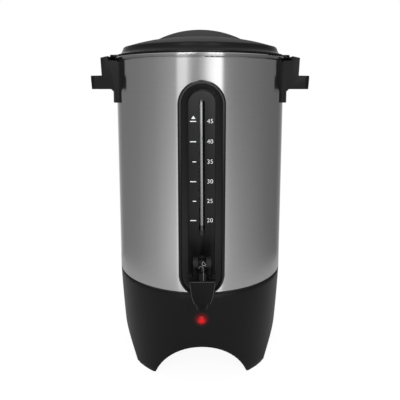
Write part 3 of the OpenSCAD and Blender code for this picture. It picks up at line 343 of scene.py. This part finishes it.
def surround_black():
    """The surround's black plastic, with painted light and shade: its panel, groove and lip each have a grey
    that changes with height.
    """
    made = Shader("surround_black", Specular_IOR_Level=0.15)
    reach = made.reach(*BEZEL_CENTRES)

    def beyond(edge):
        return made.step(reach, edge - HALF_BLEND, edge + HALF_BLEND)

    # painted light and shade by height: the panel and the lip lighter towards the top, the groove lighter
    # lower down
    panel = made.by_height([
        (130, 0.001), (177, 0.001), (190, 0.007), (215, 0.012), (268, 0.012), (314, 0.019), (344, 0.03)
    ])
    groove = made.by_height([
        (130, 0.015), (190, 0.015), (215, 0.012), (249, 0.008), (282, 0.005), (344, 0.002)
    ])
    lip = made.by_height([(130, 0.01), (215, 0.011), (249, 0.018), (282, 0.031), (310, 0.04), (344, 0.048)])
    tone = made.mixed(beyond(PANEL_EDGE), panel, groove)
    tone = made.mixed(beyond(LIP_INSIDE), tone, lip)
    # painted shade on the lip's outer slope
    tone = made.mixed(beyond(LIP_OUTSIDE), tone, grey(0.006))
    made.feed("Base Color", made.tinted(made.flow_marks()[1], tone))
    made.feed("Roughness", made.between(beyond(PANEL_EDGE), 0.5, 0.32))
    made.bump(made.noise(PLASTIC_GRAIN, 2.0, 0.5), GRAIN_STRENGTH, 0.0002, edge=0.0005)
    return made.material


def soft_rubber(name, colour, rough=0.7):
    """Matt rubber with a dusty bloom."""
    made = Shader(name)
    bloom = made.noise(60.0, 5.0, 0.6)
    dark = tuple(c * 0.8 for c in colour)
    light = tuple(c * 1.2 + 0.003 for c in colour)
    made.feed("Base Color", made.ramp(bloom, [(0.3, dark), (0.75, light)]))
    made.feed("Roughness", made.between(bloom, rough - 0.08, rough + 0.1))
    made.bump(made.noise(1100.0, 2.0), 0.2, 0.0003, edge=0.0003)
    return made.material


def pale_ceramic(name, colour):
    """Cream thermosetting or ceramic insulator with fine speckles."""
    made = Shader(name)
    speckle = made.noise(700.0, 3.0, 0.7)
    made.feed("Base Color", made.ramp(speckle, [(0.3, tuple(c * 0.86 for c in colour)), (0.6, colour)]))
    made.feed("Roughness", made.between(speckle, 0.5, 0.65))
    made.bump(speckle, 0.15, 0.0003, edge=0.0003)
    return made.material


def woven_sleeve(name, colour):
    """Braided heat-proof sleeve on the leads."""
    made = Shader(name)
    braid = made.node("ShaderNodeTexWave", Vector=made.place(), Scale=260.0, Distortion=4.0, Detail=2.0)
    dark = tuple(c * 0.55 for c in colour)
    made.feed("Base Color", made.ramp(braid.outputs["Fac"], [(0.2, dark), (0.8, colour)]))
    made.feed("Roughness", made.between(braid.outputs["Fac"], 0.75, 0.9))
    made.bump(braid.outputs["Fac"], 0.5, 0.0004)
    return made.material


LAMP_STRENGTH = 0.6


def red_lens():
    """Clear red plastic over the lit pilot lamp, brightest in its middle."""
    made = Shader("red_lens", Roughness=0.2, Specular_IOR_Level=0.2, Emission_Strength=LAMP_STRENGTH)
    cloud = made.noise(300.0, 2.0)
    glow = made.ramp(made.off_pilot(0.0, PILOT_R), [
        (0.0, (0.6, 0.008, 0.011)), (0.45, (0.42, 0.006, 0.009)), (0.8, (0.22, 0.005, 0.007)),
        (1.0, (0.09, 0.004, 0.005))
    ])
    glow = made.tinted(glow, made.ramp(cloud, [(0.2, grey(0.9)), (0.8, grey(1.0))]))
    made.feed("Base Color", glow)
    made.feed("Emission Color", glow)
    made.bump(cloud, 0.05, 0.0002)
    return made.material


def amber_lamp():
    """The pilot lamp itself, behind the lens."""
    made = Shader("amber_lamp", Roughness=0.15, Emission_Strength=LAMP_STRENGTH)
    cloud = made.noise(200.0, 2.0)
    glow = made.ramp(cloud, [(0.2, (0.75, 0.3, 0.05)), (0.8, (0.95, 0.5, 0.12))])
    made.feed("Base Color", glow)
    made.feed("Emission Color", glow)
    return made.material


# The painted sheen in the gauge glass's colour: where it starts, the height above which it is brightest,
# half the width that it is drawn over, and how far it moves to the left for each mm of height
GLASS_FOOT_Z = 198.2
GLASS_SHEEN_TOP_Z = 315.0
GLASS_SHEEN_HALF_W = 3.0
GLASS_SHEEN_LEAN = 0.0083


def gauge_glass():
    """Drawn glass, slightly wavy, with painted light and shade in its colour: a pale sheen lighter on its
    left, bands near its foot.
    """
    made = Shader("gauge_glass", Roughness=0.14, IOR=1.47, Transmission_Weight=0.35)
    waves = made.noise(40.0, 2.0, 0.5, stretch=(1, 1, 0.2))
    spot = made.axes()
    lean = made.node("ShaderNodeMath", Value=spot["Z"])
    lean.operation = "MULTIPLY_ADD"
    lean.inputs[1].default_value = GLASS_SHEEN_LEAN
    lean.inputs[2].default_value = -GLASS_SHEEN_LEAN * GLASS_SHEEN_TOP_Z * MM
    across = made.node("ShaderNodeMath", Value=spot["X"])
    made.tree.links.new(lean.outputs["Value"], across.inputs[1])
    # painted light across the glass: bright just left of its middle, with painted shade to its right
    painted_sheen = made.ramp(made.step(across.outputs["Value"], -GLASS_SHEEN_HALF_W, GLASS_SHEEN_HALF_W), [
        (0.0, grey(0.06)), (0.2, grey(0.34)), (0.42, grey(0.8)), (0.54, grey(0.6)), (0.62, grey(0.1)),
        (0.68, grey(0.01)), (1.0, grey(0.01))
    ])
    # painted bands near the glass's foot, dark then light, and the sheen brighter higher up
    painted_sheen = made.tinted(painted_sheen, made.by_height([
        (GLASS_FOOT_Z - 12, 0.1), (GLASS_FOOT_Z - 0.7, 0.16), (GLASS_FOOT_Z - 0.4, 0.02),
        (GLASS_FOOT_Z, 0.02), (GLASS_FOOT_Z + 0.5, 0.5), (230, 0.62), (300, 0.75), (GLASS_SHEEN_TOP_Z, 1.0),
        (340, 1.0)
    ]))
    tone = made.ramp(waves, [(0.2, (0.93, 0.96, 0.96)), (0.8, (0.97, 0.985, 0.985))])
    made.feed("Base Color", made.tinted(tone, painted_sheen))
    made.bump(waves, 0.05, 0.0004)
    return made.material


def printed_ink():
    """Pale grey screen-printed ink with slightly uneven cover."""
    made = Shader("printed_ink", Roughness=0.5)
    cover = made.noise(1500.0, 3.0, 0.7)
    made.feed("Base Color", made.ramp(cover, [(0.25, grey(0.8)), (0.6, grey(0.95))]))
    made.bump(cover, 0.1, 0.0001)
    return made.material


MATERIALS = {
    "tank_steel": tank_steel(),
    "plated_steel": plain_steel("plated_steel"),
    "black_plastic": moulded_black("black_plastic"),
    "dark_plastic": moulded_black("dark_plastic", level=0.02, rough=0.5),
    "dark_plate": moulded_black("dark_plate", level=0.018, rough=0.55, grain=500.0, strength=0.3),
    "black_rubber": soft_rubber("black_rubber", grey(0.012)),
    "seal_rubber": soft_rubber("seal_rubber", (0.24, 0.045, 0.03)),
    "pale_silicone": soft_rubber("pale_silicone", (0.55, 0.53, 0.49), 0.55),
    "red_lens": red_lens(),
    "amber_lamp": amber_lamp(),
    "heater_alloy": pressed_alloy("heater_alloy", 0.6, 0.45),
    "basket_alloy": pressed_alloy("basket_alloy"),
    "cream_plastic": pale_ceramic("cream_plastic", (0.72, 0.67, 0.56)),
    "wire_sleeve": woven_sleeve("wire_sleeve", (0.3, 0.07, 0.04)),
    "gauge_glass": gauge_glass(),
}
INK = printed_ink()
SURROUND = surround_black()

# The same black plastic as it reads on each moulding: its gloss, and a grey set for each moulding by how the
# light falls there, which is painted light and shade
# the dome is painted lighter towards its top, which faces the light overhead
BLACK_LID = moulded_black("black_lid", rough=0.52, gloss=0.1, heights=[
    (376, 0.006), (402, 0.01), (409, 0.014), (413, 0.05), (422, 0.056)
])
BLACK_LID_WALL = moulded_black("black_lid_wall", level=0.003, rough=0.22)
BLACK_SKIRT = moulded_black("black_skirt", level=0.006, gloss=0.22, rough=0.33, lit=True)
BLACK_HANDLE = moulded_black("black_handle", level=0.004, gloss=0.2, rough=0.45)
BLACK_TAP = moulded_black("black_tap", level=0.004, gloss=0.15, rough=0.45)
# painted light and shade by height: a highlight on the tap's cheeks and a dark band just below them
BLACK_CHEEK = moulded_black("black_cheek", gloss=0.1, rough=0.5, heights=[
    (140, 0.006), (148, 0.01), (156, 0.01), (159, 0.003), (164, 0.024), (168, 0.02), (174, 0.008)
])
# light plastic for beads that are painted highlights along the edges of the lever and the spout
PAINTED_EDGE_HIGHLIGHT = moulded_black("painted_edge_highlight", level=0.06, gloss=0.3, rough=0.4)
PAINTED_RIB_HIGHLIGHT = moulded_black("painted_rib_highlight", level=0.15, gloss=0.4, rough=0.35)
BLACKENED_STEEL = plain_steel("blackened_steel", level=0.05, rough=0.5)
BLACKENED_NODES = ("tap_stem", "tap_pin")

# Edge radius in mm and finish of each moulded piece
SOFT_EDGES = {
    "base_skirt": (0.8, BLACK_SKIRT),
    "gauge_bezel": (0.35, SURROUND),
    "tap_body": (0.4, BLACK_TAP),
    "tap_bonnet": (0.9, BLACK_CHEEK),
    "tap_lever": (0.5, BLACK_TAP),
    "handle_right": (1.0, BLACK_HANDLE),
    "handle_left": (1.0, BLACK_HANDLE),
}


def dress_cad_nodes():
    """Gives every carried-over CAD node the procedural material of its slot."""
    slots = {s["node"]: s["material_slot"] for s in frame["record"]["subparts"]}
    for name, node in NODES.items():
        node.data.materials.clear()
        node.data.materials.append(BLACKENED_STEEL if name in BLACKENED_NODES else MATERIALS[slots[name]])


# ---------- Geometry helpers ----------


def link(name, data):
    """Puts a new object with this data in the scene."""
    made = bpy.data.objects.new(name, data)
    bpy.context.scene.collection.objects.link(made)
    return made


def object_from(name, bm):
    """Turns a bmesh into an object, and frees it."""
    mesh = bpy.data.meshes.new(name)
    bm.to_mesh(mesh)
    bm.free()
    return link(name, mesh)


def new_piece(name, bm, material, body, replaced=(), smooth=True):
    """Links a bmesh (in mm) as a piece of the object, riding on a CAD body."""
    bmesh.ops.scale(bm, vec=(MM, MM, MM), verts=bm.verts)
    bmesh.ops.recalc_face_normals(bm, faces=bm.faces)
    piece = object_from(name, bm)
    mesh = piece.data
    mesh.materials.append(material)
    for face in mesh.polygons:
        face.use_smooth = smooth
    if replaced:
        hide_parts(*replaced)
    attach(piece, body)
    return piece


def skin(bm, loops):
    """Joins closed loops of vertices, each to the next, with quads."""
    for a, b in zip(loops, loops[1:]):
        for i in range(len(a)):
            j = (i + 1) % len(a)
            bm.faces.new((a[i], a[j], b[j], b[i]))


# Rounding of a CAD node's edges: steps in each, and the angle in degrees from which an edge is rounded
ROUND_STEPS = 2
ROUND_ANGLE = 32
# The CAD mesh's points this near (m) are one, and facets this near to flat (degrees) become one face
WELD = 2e-6
FLAT_ANGLE = 0.6


def soften(node, width, finish):
    """A copy of a CAD node with rounded edges and its own finish, which replaces it. width is in mm."""
    source = NODES[node]
    bm = bmesh.new()
    bm.from_mesh(source.data)
    bmesh.ops.remove_doubles(bm, verts=bm.verts, dist=WELD)
    bmesh.ops.dissolve_limit(bm, angle_limit=math.radians(FLAT_ANGLE), verts=bm.verts, edges=bm.edges)
    piece = object_from(node + "_moulded", bm)
    piece.data.materials.append(finish)
    piece.data.shade_smooth()
    bevel = piece.modifiers.new("round", "BEVEL")
    bevel.width = width * MM
    bevel.segments = ROUND_STEPS
    bevel.limit_method = "ANGLE"
    bevel.angle_limit = math.radians(ROUND_ANGLE)
    bevel.harden_normals = True
    bevel.use_clamp_overlap = True
    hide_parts(node)
    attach(piece, body_of(source)[0])


def smooth_max(a, b, blend):
    """The larger of a and b, with a rounded change-over about blend wide."""
    h = max(0.0, min(1.0, 0.5 + 0.5 * (a - b) / blend))
    return b * (1 - h) + a * h + blend * h * (1 - h)


# ---------- Lid ----------
LID_T = 2.6
# heights of the foot and the top of its outer wall
LID_WALL_Z = RIM_Z + 3.1
LID_EDGE_Z = LID_WALL_Z + 7.8
# the dome falls by DOME_DROP from its top to its shoulder, along a power curve
DOME_TOP_Z = LID_EDGE_Z + 14.2
DOME_DROP = 12.6
DOME_CURVE = 2.5
SHOULDER_R = 94.4
# the wall's own finish starts outside this radius
WALL_TOP_R = 97.2
# the grip is an arch along X between two finger scoops
GRIP_ARCH_R = 124.0
GRIP_HALF_W = 11.0
GRIP_TOP_Z = DOME_TOP_Z + 10.3
GRIP_ROUND = 4.0
GRIP_FLANK = 0.55
GRIP_BLEND = 1.2
SCOOP_HALF_L = 14.0
SCOOP_HALF_W = 20.0
SCOOP_DEPTH = 8.6
# the plug that goes down into the tank
PLUG_R = 103.5
PLUG_INNER_R = 101.3
PLUG_LOW_Z = RIM_Z - 10.7
# the mesh: points round each ring, rings from the middle to the shoulder, and how many the underside has
LID_AROUND = 288
LID_RINGS = 92
UNDERSIDE_RINGS = 90

# The lid's section from its shoulder, down the wall, under the edge and the plug, back to the underside
LID_SECTION = [
    (95.6, LID_EDGE_Z + 1.4), (96.8, LID_EDGE_Z + 1.1), (97.6, LID_EDGE_Z + 0.3), (98.0, LID_EDGE_Z - 0.7),
    (98.4, LID_EDGE_Z - 1.9), (99.2, LID_WALL_Z + 4.0), (100.1, LID_WALL_Z + 2.2),
    (101.2, LID_WALL_Z + 1.1), (102.8, LID_WALL_Z + 0.3), (105.6, LID_WALL_Z - 0.3),
    (106.25, LID_WALL_Z - 0.7), (106.4, LID_WALL_Z - 1.4), (106.4, RIM_Z + 0.6), (106.0, RIM_Z + 0.3),
    (PLUG_R, RIM_Z + 0.3), (PLUG_R, PLUG_LOW_Z + 0.6), (PLUG_R - 0.5, PLUG_LOW_Z),
    (PLUG_INNER_R + 0.5, PLUG_LOW_Z), (PLUG_INNER_R, PLUG_LOW_Z + 0.6), (PLUG_INNER_R, RIM_Z + 0.2),
    (98.4, LID_WALL_Z), (95.7, LID_EDGE_Z - 2.3), (94.2, DOME_TOP_Z - DOME_DROP - LID_T),
]


def lid_top_z(x, y):
    """Height of the lid's top: the dome, two long finger scoops and the arched grip between them."""
    z = DOME_TOP_Z - DOME_DROP * (math.hypot(x, y) / SHOULDER_R) ** DOME_CURVE
    scoop_y = GRIP_HALF_W + SCOOP_HALF_W - 1
    d = math.hypot(max(0.0, abs(x) - SCOOP_HALF_L), abs(y) - scoop_y) / SCOOP_HALF_W
    if d < 1:
        z -= SCOOP_DEPTH * 0.5 * (1 + math.cos(math.pi * d))
    if abs(x) < GRIP_ARCH_R * 0.7:
        arch = GRIP_TOP_Z - GRIP_ARCH_R + math.sqrt(GRIP_ARCH_R**2 - x * x)
        side = max(0.0, abs(y) - GRIP_HALF_W + GRIP_ROUND)
        z = smooth_max(arch - side * side * GRIP_FLANK, z, GRIP_BLEND)
    return z


def make_lid():
    """The lid's shell in one mesh, with a glossier finish on its wall."""
    bm = bmesh.new()
    angles = [2 * math.pi * i / LID_AROUND for i in range(LID_AROUND)]

    def ring(r, height):
        spots = [(r * math.cos(a), r * math.sin(a)) for a in angles]
        return [bm.verts.new((x, y, height(x, y))) for x, y in spots]

    def surface(drop, count):
        """This many rings of the lid's top, lowered by drop and closed in their middle."""
        radii = [SHOULDER_R * i / LID_RINGS for i in range(1, count + 1)]
        made = [ring(r, lambda x, y: lid_top_z(x, y) - drop) for r in radii]
        centre = bm.verts.new((0, 0, lid_top_z(0, 0) - drop))
        for i in range(LID_AROUND):
            bm.faces.new((centre, made[0][i], made[0][(i + 1) % LID_AROUND]))
        skin(bm, made)
        return made[-1]

    section = [ring(r, lambda x, y, z=z: z) for r, z in LID_SECTION]
    skin(bm, [surface(0, LID_RINGS), *section, surface(LID_T, UNDERSIDE_RINGS)])
    for side in (1, -1):
        add_ear(bm, side)
    shell = new_piece("lid_shell", bm, BLACK_LID, "lid", ["lid"])
    # the wall's copy of the plastic is glossier, and painted darker than the dome
    shell.data.materials.append(BLACK_LID_WALL)
    for face in shell.data.polygons:
        if min(shell.data.vertices[i].co.xy.length for i in face.vertices) > WALL_TOP_R * MM:
            face.material_index = 1


# The lid's ears: half their width, the run-in of their ends, and the share by which their ends are smaller
EAR_HALF_W = 13.0
EAR_END = 0.9
EAR_SHRINK = 0.1
EAR_TOP_Z = LID_WALL_Z + 0.9
EAR_LOW_Z = RIM_Z - 4.3
EAR_ROOT_R = 100.5
EAR_INNER_R = RIM_R + 0.7
EAR_OUTER_R = RIM_R + 6.0


def add_ear(bm, side):
    """A hooked ear that reaches out over the rolled rim."""
    outline = [
        (EAR_ROOT_R, EAR_TOP_Z + 0.6), (103.0, EAR_TOP_Z + 0.2), (106.0, EAR_TOP_Z),
        (EAR_OUTER_R - 1.2, EAR_TOP_Z - 0.1), (EAR_OUTER_R - 0.4, EAR_TOP_Z - 0.4),
        (EAR_OUTER_R, EAR_TOP_Z - 1.2), (EAR_OUTER_R, EAR_LOW_Z + 0.8), (EAR_OUTER_R - 0.8, EAR_LOW_Z),
        (EAR_INNER_R + 0.6, EAR_LOW_Z), (EAR_INNER_R, EAR_LOW_Z + 0.6), (EAR_INNER_R, RIM_Z + 0.5),
        (EAR_ROOT_R, RIM_Z + 0.5),
    ]
    centre_x = sum(x for x, z in outline) / len(outline)
    centre_z = sum(z for x, z in outline) / len(outline)
    loops = []
    for y, size in (
        (-EAR_HALF_W, 1 - EAR_SHRINK), (EAR_END - EAR_HALF_W, 1), (EAR_HALF_W - EAR_END, 1),
        (EAR_HALF_W, 1 - EAR_SHRINK),
    ):
        loops.append([
            bm.verts.new((side * (centre_x + (x - centre_x) * size), y, centre_z + (z - centre_z) * size))
            for x, z in outline
        ])
    skin(bm, loops)
    bm.faces.new(loops[0])
    bm.faces.new(loops[-1])


# ---------- Printed scale ----------

# Cups that the marks stand for, the lowest mark's height and the height from one mark to the next
MARKS = (20, 25, 30, 35, 40, 45)
MARK_CUPS = 5
MARK_LOW_Z = 204.9
MARK_STEP = 21.74
# The bars, long at every MARK_LONG cups and at the top
MARK_LONG = 10
BAR_LONG_X = -12.6
BAR_SHORT_X = -10.0
BAR_RIGHT_X = -6.1
BAR_HALF_H = 0.48
# The corner cut of a bar, as a share of its height, and the ink's thickness
BAR_CUT = 0.2
INK_T = 0.12
# The triangle over the top mark
SIGN_X = -9.0
SIGN_HALF_W = 2.2
SIGN_H = 3.4
SIGN_RISE = 2.6
# The numbers: left edge, height, half the thickness, offset of their outline and spacing
NUMBER_X = 5.6
NUMBER_SIZE = 6.5
NUMBER_HALF_T = 0.05
NUMBER_OFFSET = -0.055
NUMBER_SPACING = 1.06


def mark_z(cups):
    """Height of the mark for this many cups."""
    return MARK_LOW_Z + MARK_STEP * (cups - MARKS[0]) / MARK_CUPS


def add_print(bm, outline):
    """A thin layer of ink on the gauge's panel, with this outline in X and Z."""
    back, front = (
        [bm.verts.new((x, PANEL_FACE_Y - depth, z)) for x, z in outline] for depth in (0, INK_T)
    )
    skin(bm, [back, front])
    bm.faces.new(front)
    bm.faces.new(back)


def add_bar(bm, x0, x1, z0, z1):
    """A printed bar with its corners cut."""
    cut = min(x1 - x0, z1 - z0) * BAR_CUT
    add_print(bm, [
        (x0 + cut, z0), (x1 - cut, z0), (x1, z0 + cut), (x1, z1 - cut),
        (x1 - cut, z1), (x0 + cut, z1), (x0, z1 - cut), (x0, z0 + cut),
    ])


def add_number(cups):
    """The number beside one mark."""
    curve = bpy.data.curves.new(f"number_{cups}", "FONT")
    curve.body = str(cups)
    curve.size = NUMBER_SIZE * MM
    curve.extrude = NUMBER_HALF_T * MM
    curve.offset = NUMBER_OFFSET * MM
    curve.space_character = NUMBER_SPACING
    curve.align_x = "LEFT"
    curve.align_y = "CENTER"
    curve.materials.append(INK)
    number = link(f"scale_number_{cups}", curve)
    number.rotation_euler = (math.pi / 2, 0, 0)
    number.location = Vector((NUMBER_X, PANEL_FACE_Y - INK_T / 2, mark_z(cups))) * MM
    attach(number, "urn")


def make_scale():
    """Tick bars and numbers beside the viewing slot, and a small triangle over the top mark."""
    bm = bmesh.new()
    for cups in MARKS:
        z = mark_z(cups)
        left = BAR_LONG_X if cups % MARK_LONG == 0 or cups == MARKS[-1] else BAR_SHORT_X
        add_bar(bm, left, BAR_RIGHT_X, z - BAR_HALF_H, z + BAR_HALF_H)
    foot = mark_z(MARKS[-1]) + SIGN_RISE
    add_print(bm, [(SIGN_X - SIGN_HALF_W, foot), (SIGN_X + SIGN_HALF_W, foot), (SIGN_X, foot + SIGN_H)])
    new_piece("scale_ticks", bm, INK, "urn", smooth=False)
    for cups in MARKS:
        add_number(cups)


# ---------- Small pieces on the tap ----------

# Radii of the beads of painted highlight along the moulded edges and the rib's edge, and of the wire clip
EDGE_R = 0.35
RIB_R = 0.4
CLIP_R = 0.3

# Their routes; the edges that come in pairs are given for the right side
RIB_ROUTE = [
    (-3.6, -143.2, 160.2), (-2.9, -143.3, 161.9), (-1.5, -143.5, 162.8), (0.1, -143.9, 162.2),
    (1.0, -144.6, 160.8), (1.1, -146.8, 158.6), (1.1, -150.4, 158.4), (1.1, -151.4, 157.4),
    (1.1, -151.4, 150.2),
]
LEDGE_ROUTE = [(-13.2, -152.7, 149.3), (0.0, -152.75, 149.35), (13.2, -152.7, 149.3)]
PLATE_ROUTE = [
    (13.1, -151.1, 147.5), (12.3, -151.1, 141.0), (11.6, -151.1, 135.8), (10.1, -151.1, 129.6),
    (8.2, -151.1, 124.4),
]
SPOUT_ROUTE = [(7.25, -132.3, 117.5), (6.2, -131.9, 113.0), (5.1, -131.5, 108.2)]
CLIP_ROUTE = [
    (0.2, -141.9, 166.2), (0.9, -142.0, 167.2), (2.6, -142.2, 165.3), (4.6, -142.4, 162.6),
    (2.8, -142.8, 163.4), (0.6, -142.6, 163.6),
]


def add_bead(name, points, radius, finish=PAINTED_EDGE_HIGHLIGHT, closed=False, body="tap_lever"):
    """A thin round bead or wire along a smooth curve through the points (mm), riding on a body."""
    curve = bpy.data.curves.new(name, "CURVE")
    curve.dimensions = "3D"
    curve.bevel_depth = radius * MM
    curve.bevel_resolution = 3
    curve.use_fill_caps = True
    curve.materials.append(finish)
    spline = curve.splines.new("BEZIER")
    spline.bezier_points.add(len(points) - 1)
    for knot, spot in zip(spline.bezier_points, points):
        knot.co = Vector(spot) * MM
        knot.handle_left_type = knot.handle_right_type = "AUTO"
    spline.use_cyclic_u = closed
    bead = link(name, curve)
    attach(bead, body)


def make_tap_details():
    """Painted highlights, as light beads, on the edges of the lever's rib, ledge and plate and of the spout,
    and the pin's wire clip.
    """
    add_bead("lever_rib_highlight", RIB_ROUTE, RIB_R, PAINTED_RIB_HIGHLIGHT)
    add_bead("lever_ledge_highlight", LEDGE_ROUTE, EDGE_R)
    for part, route, body in (("lever_plate", PLATE_ROUTE, "tap_lever"), ("spout", SPOUT_ROUTE, "urn")):
        for side, x in (("right", 1), ("left", -1)):
            add_bead(f"{part}_edge_{side}", [(x * px, y, z) for px, y, z in route], EDGE_R, body=body)
    add_bead("lever_clip", CLIP_ROUTE, CLIP_R, MATERIALS["plated_steel"], closed=True)


# ---------- Studio ----------


def make_camera():
    """The camera where the photograph was taken from, facing the urn's axis."""
    camera = bpy.data.cameras.new("photo_camera")
    camera.lens = CAM_LENS
    camera.sensor_width = CAM_SENSOR
    camera.shift_y = CAM_SHIFT_Y
    holder = link("photo_camera", camera)
    yaw = math.radians(CAM_YAW)
    spot = Vector((math.sin(yaw) * CAM_DISTANCE, -math.cos(yaw) * CAM_DISTANCE, CAM_HEIGHT))
    holder.location = spot * MM
    holder.rotation_euler = (math.radians(90 - CAM_PITCH), 0, yaw)
    bpy.context.scene.camera = holder


# The floor sheet: its radius and depth (mm), its tone in reflections, and the glow and the tone that take
# shadow which the camera sees
FLOOR_R = 400.0
FLOOR_Z = -0.2
FLOOR_TONE = 0.58
FLOOR_GLOW = 0.93
FLOOR_SHADOW_TONE = 0.12


def make_floor():
    """A large white sheet that shows white to the camera and keeps a faint shadow."""
    bm = bmesh.new()
    bmesh.ops.create_circle(bm, cap_ends=True, segments=96, radius=FLOOR_R * MM)
    floor = object_from("floor", bm)
    floor.location = (0, 0, FLOOR_Z * MM)
    made = bpy.data.materials.new("floor")
    made.use_nodes = True
    tree = made.node_tree
    tree.nodes.clear()

    def add_node(kind, **inputs):
        node = tree.nodes.new(kind)
        for key, value in inputs.items():
            node.inputs[key].default_value = value
        return node

    sheet = add_node("ShaderNodeBsdfDiffuse", Color=(*grey(FLOOR_TONE), 1))
    dim = add_node("ShaderNodeBsdfDiffuse", Color=(*grey(FLOOR_SHADOW_TONE), 1))
    glow = add_node("ShaderNodeEmission", Color=(1, 1, 1, 1), Strength=FLOOR_GLOW)
    path = add_node("ShaderNodeLightPath")
    both = add_node("ShaderNodeAddShader")
    mix = add_node("ShaderNodeMixShader")
    out = add_node("ShaderNodeOutputMaterial")
    for source, target in (
        (glow.outputs["Emission"], both.inputs[0]), (dim.outputs["BSDF"], both.inputs[1]),
        (path.outputs["Is Camera Ray"], mix.inputs["Fac"]), (sheet.outputs["BSDF"], mix.inputs[1]),
        (both.outputs["Shader"], mix.inputs[2]), (mix.outputs["Shader"], out.inputs["Surface"]),
    ):
        tree.links.new(source, target)
    floor.data.materials.append(made)


# Brightness of the room by direction, in degrees round the object: 0 is behind the camera,
# negative is to its left, and 180 is the white sheet behind the object
ROOM = [
    (-180, 1.0), (-165, 0.7), (-150, 0.36), (-138, 0.24), (-95, 0.26), (-65, 0.31), (-50, 0.38), (-32, 0.47),
    (-30, 0.93), (-19, 0.93), (-15, 0.54), (-11, 0.36), (-4, 0.42), (3, 0.67), (10, 1.1), (18, 1.45),
    (27, 1.55), (30, 0.38), (44, 0.3), (60, 0.26), (100, 0.2), (135, 0.17), (152, 0.3), (165, 0.6),
    (180, 1.0),
]
# The brightest that a wall may be, by which the list is divided
ROOM_PEAK = 1.6
# The ceiling's light, and the rise (sine of the height angle) at which it starts and is full
CEILING = 0.8
CEILING_RISE = (0.45, 0.95)
# How much lighter the walls in front are low down, and the rise at which that starts and is full
LOW_WALL_GAIN = 0.9
LOW_WALL_RISE = (-0.02, -0.38)


def make_world():
    """A studio by direction: two soft boxes beside the camera, grey walls, white behind and overhead."""
    world = bpy.data.worlds.new("studio")
    bpy.context.scene.world = world
    world.use_nodes = True
    tree = world.node_tree
    tree.nodes.clear()
    coords = tree.nodes.new("ShaderNodeTexCoord")
    split = tree.nodes.new("ShaderNodeSeparateXYZ")
    tree.links.new(coords.outputs["Generated"], split.inputs["Vector"])

    def math_node(operation, a, b=None):
        made = tree.nodes.new("ShaderNodeMath")
        made.operation = operation
        for socket, value in ((0, a), (1, b)):
            if isinstance(value, bpy.types.NodeSocket):
                tree.links.new(value, made.inputs[socket])
            elif value is not None:
                made.inputs[socket].default_value = value
        return made.outputs[0]

    def share_between(value, low, high):
        """0 at low and 1 at high, and straight between them."""
        made = tree.nodes.new("ShaderNodeMapRange")
        tree.links.new(value, made.inputs["Value"])
        made.inputs["From Min"].default_value = low
        made.inputs["From Max"].default_value = high
        return made.outputs["Result"]

    azimuth = math_node("ARCTAN2", split.outputs["X"], math_node("MULTIPLY", split.outputs["Y"], -1.0))
    turn = math_node("ADD", math_node("DIVIDE", azimuth, 2 * math.pi), 0.5)
    walls = tree.nodes.new("ShaderNodeValToRGB")
    tree.links.new(turn, walls.inputs["Fac"])
    elements = walls.color_ramp.elements
    while len(elements) < len(ROOM):
        elements.new(0.5)
    for element, (degrees, level) in zip(elements, ROOM):
        element.position = degrees / 360 + 0.5
        element.color = (*grey(level / ROOM_PEAK), 1)
    room = tree.nodes.new("ShaderNodeMix")
    room.data_type = "RGBA"
    tree.links.new(share_between(split.outputs["Z"], *CEILING_RISE), room.inputs["Factor"])
    tree.links.new(walls.outputs["Color"], room.inputs["A"])
    room.inputs["B"].default_value = (*grey(CEILING / ROOM_PEAK), 1)
    # the walls in front take light back from the floor, below eye level
    facing = share_between(split.outputs["Y"], 1.0, -1.0)
    front_low = math_node("MULTIPLY", math_node("MULTIPLY", facing, facing),
                          share_between(split.outputs["Z"], *LOW_WALL_RISE))
    gain = math_node("ADD", math_node("MULTIPLY", front_low, LOW_WALL_GAIN), 1.0)
    surround = tree.nodes.new("ShaderNodeBackground")
    tree.links.new(room.outputs["Result"], surround.inputs["Color"])
    tree.links.new(math_node("MULTIPLY", gain, ROOM_PEAK), surround.inputs["Strength"])
    white = tree.nodes.new("ShaderNodeBackground")
    white.inputs["Color"].default_value = (1, 1, 1, 1)
    path = tree.nodes.new("ShaderNodeLightPath")
    seen = math_node("MAXIMUM", path.outputs["Is Camera Ray"], path.outputs["Is Transmission Ray"])
    mix = tree.nodes.new("ShaderNodeMixShader")
    out = tree.nodes.new("ShaderNodeOutputWorld")
    tree.links.new(seen, mix.inputs["Fac"])
    tree.links.new(surround.outputs["Background"], mix.inputs[1])
    tree.links.new(white.outputs["Background"], mix.inputs[2])
    tree.links.new(mix.outputs["Shader"], out.inputs["Surface"])


# The soft boxes, in metres and watts: sideways place and power of each, and what they share
SOFTBOXES = {"softbox_left": (-0.5, 8), "softbox_right": (0.5, 6)}
SOFTBOX_Y = -1.45
SOFTBOX_Z = 1.2
SOFTBOX_SIZE = 0.6
SOFTBOX_TARGET = Vector((0, 0, 0.25))


def make_lamp(name, x, power):
    """A square soft box before and above the urn, turned to its middle."""
    light = bpy.data.lights.new(name, "AREA")
    light.shape = "RECTANGLE"
    light.size = light.size_y = SOFTBOX_SIZE
    light.energy = power
    holder = link(name, light)
    spot = Vector((x, SOFTBOX_Y, SOFTBOX_Z))
    holder.location = spot
    holder.rotation_euler = (SOFTBOX_TARGET - spot).to_track_quat("-Z", "Y").to_euler()


def main():
    bpy.context.scene.view_settings.view_transform = "Standard"
    make_camera()
    make_floor()
    make_world()
    for name, (x, power) in SOFTBOXES.items():
        make_lamp(name, x, power)
    dress_cad_nodes()
    make_lid()
    make_scale()
    make_tap_details()
    for node, (width, finish) in SOFT_EDGES.items():
        soften(node, width, finish)


main()
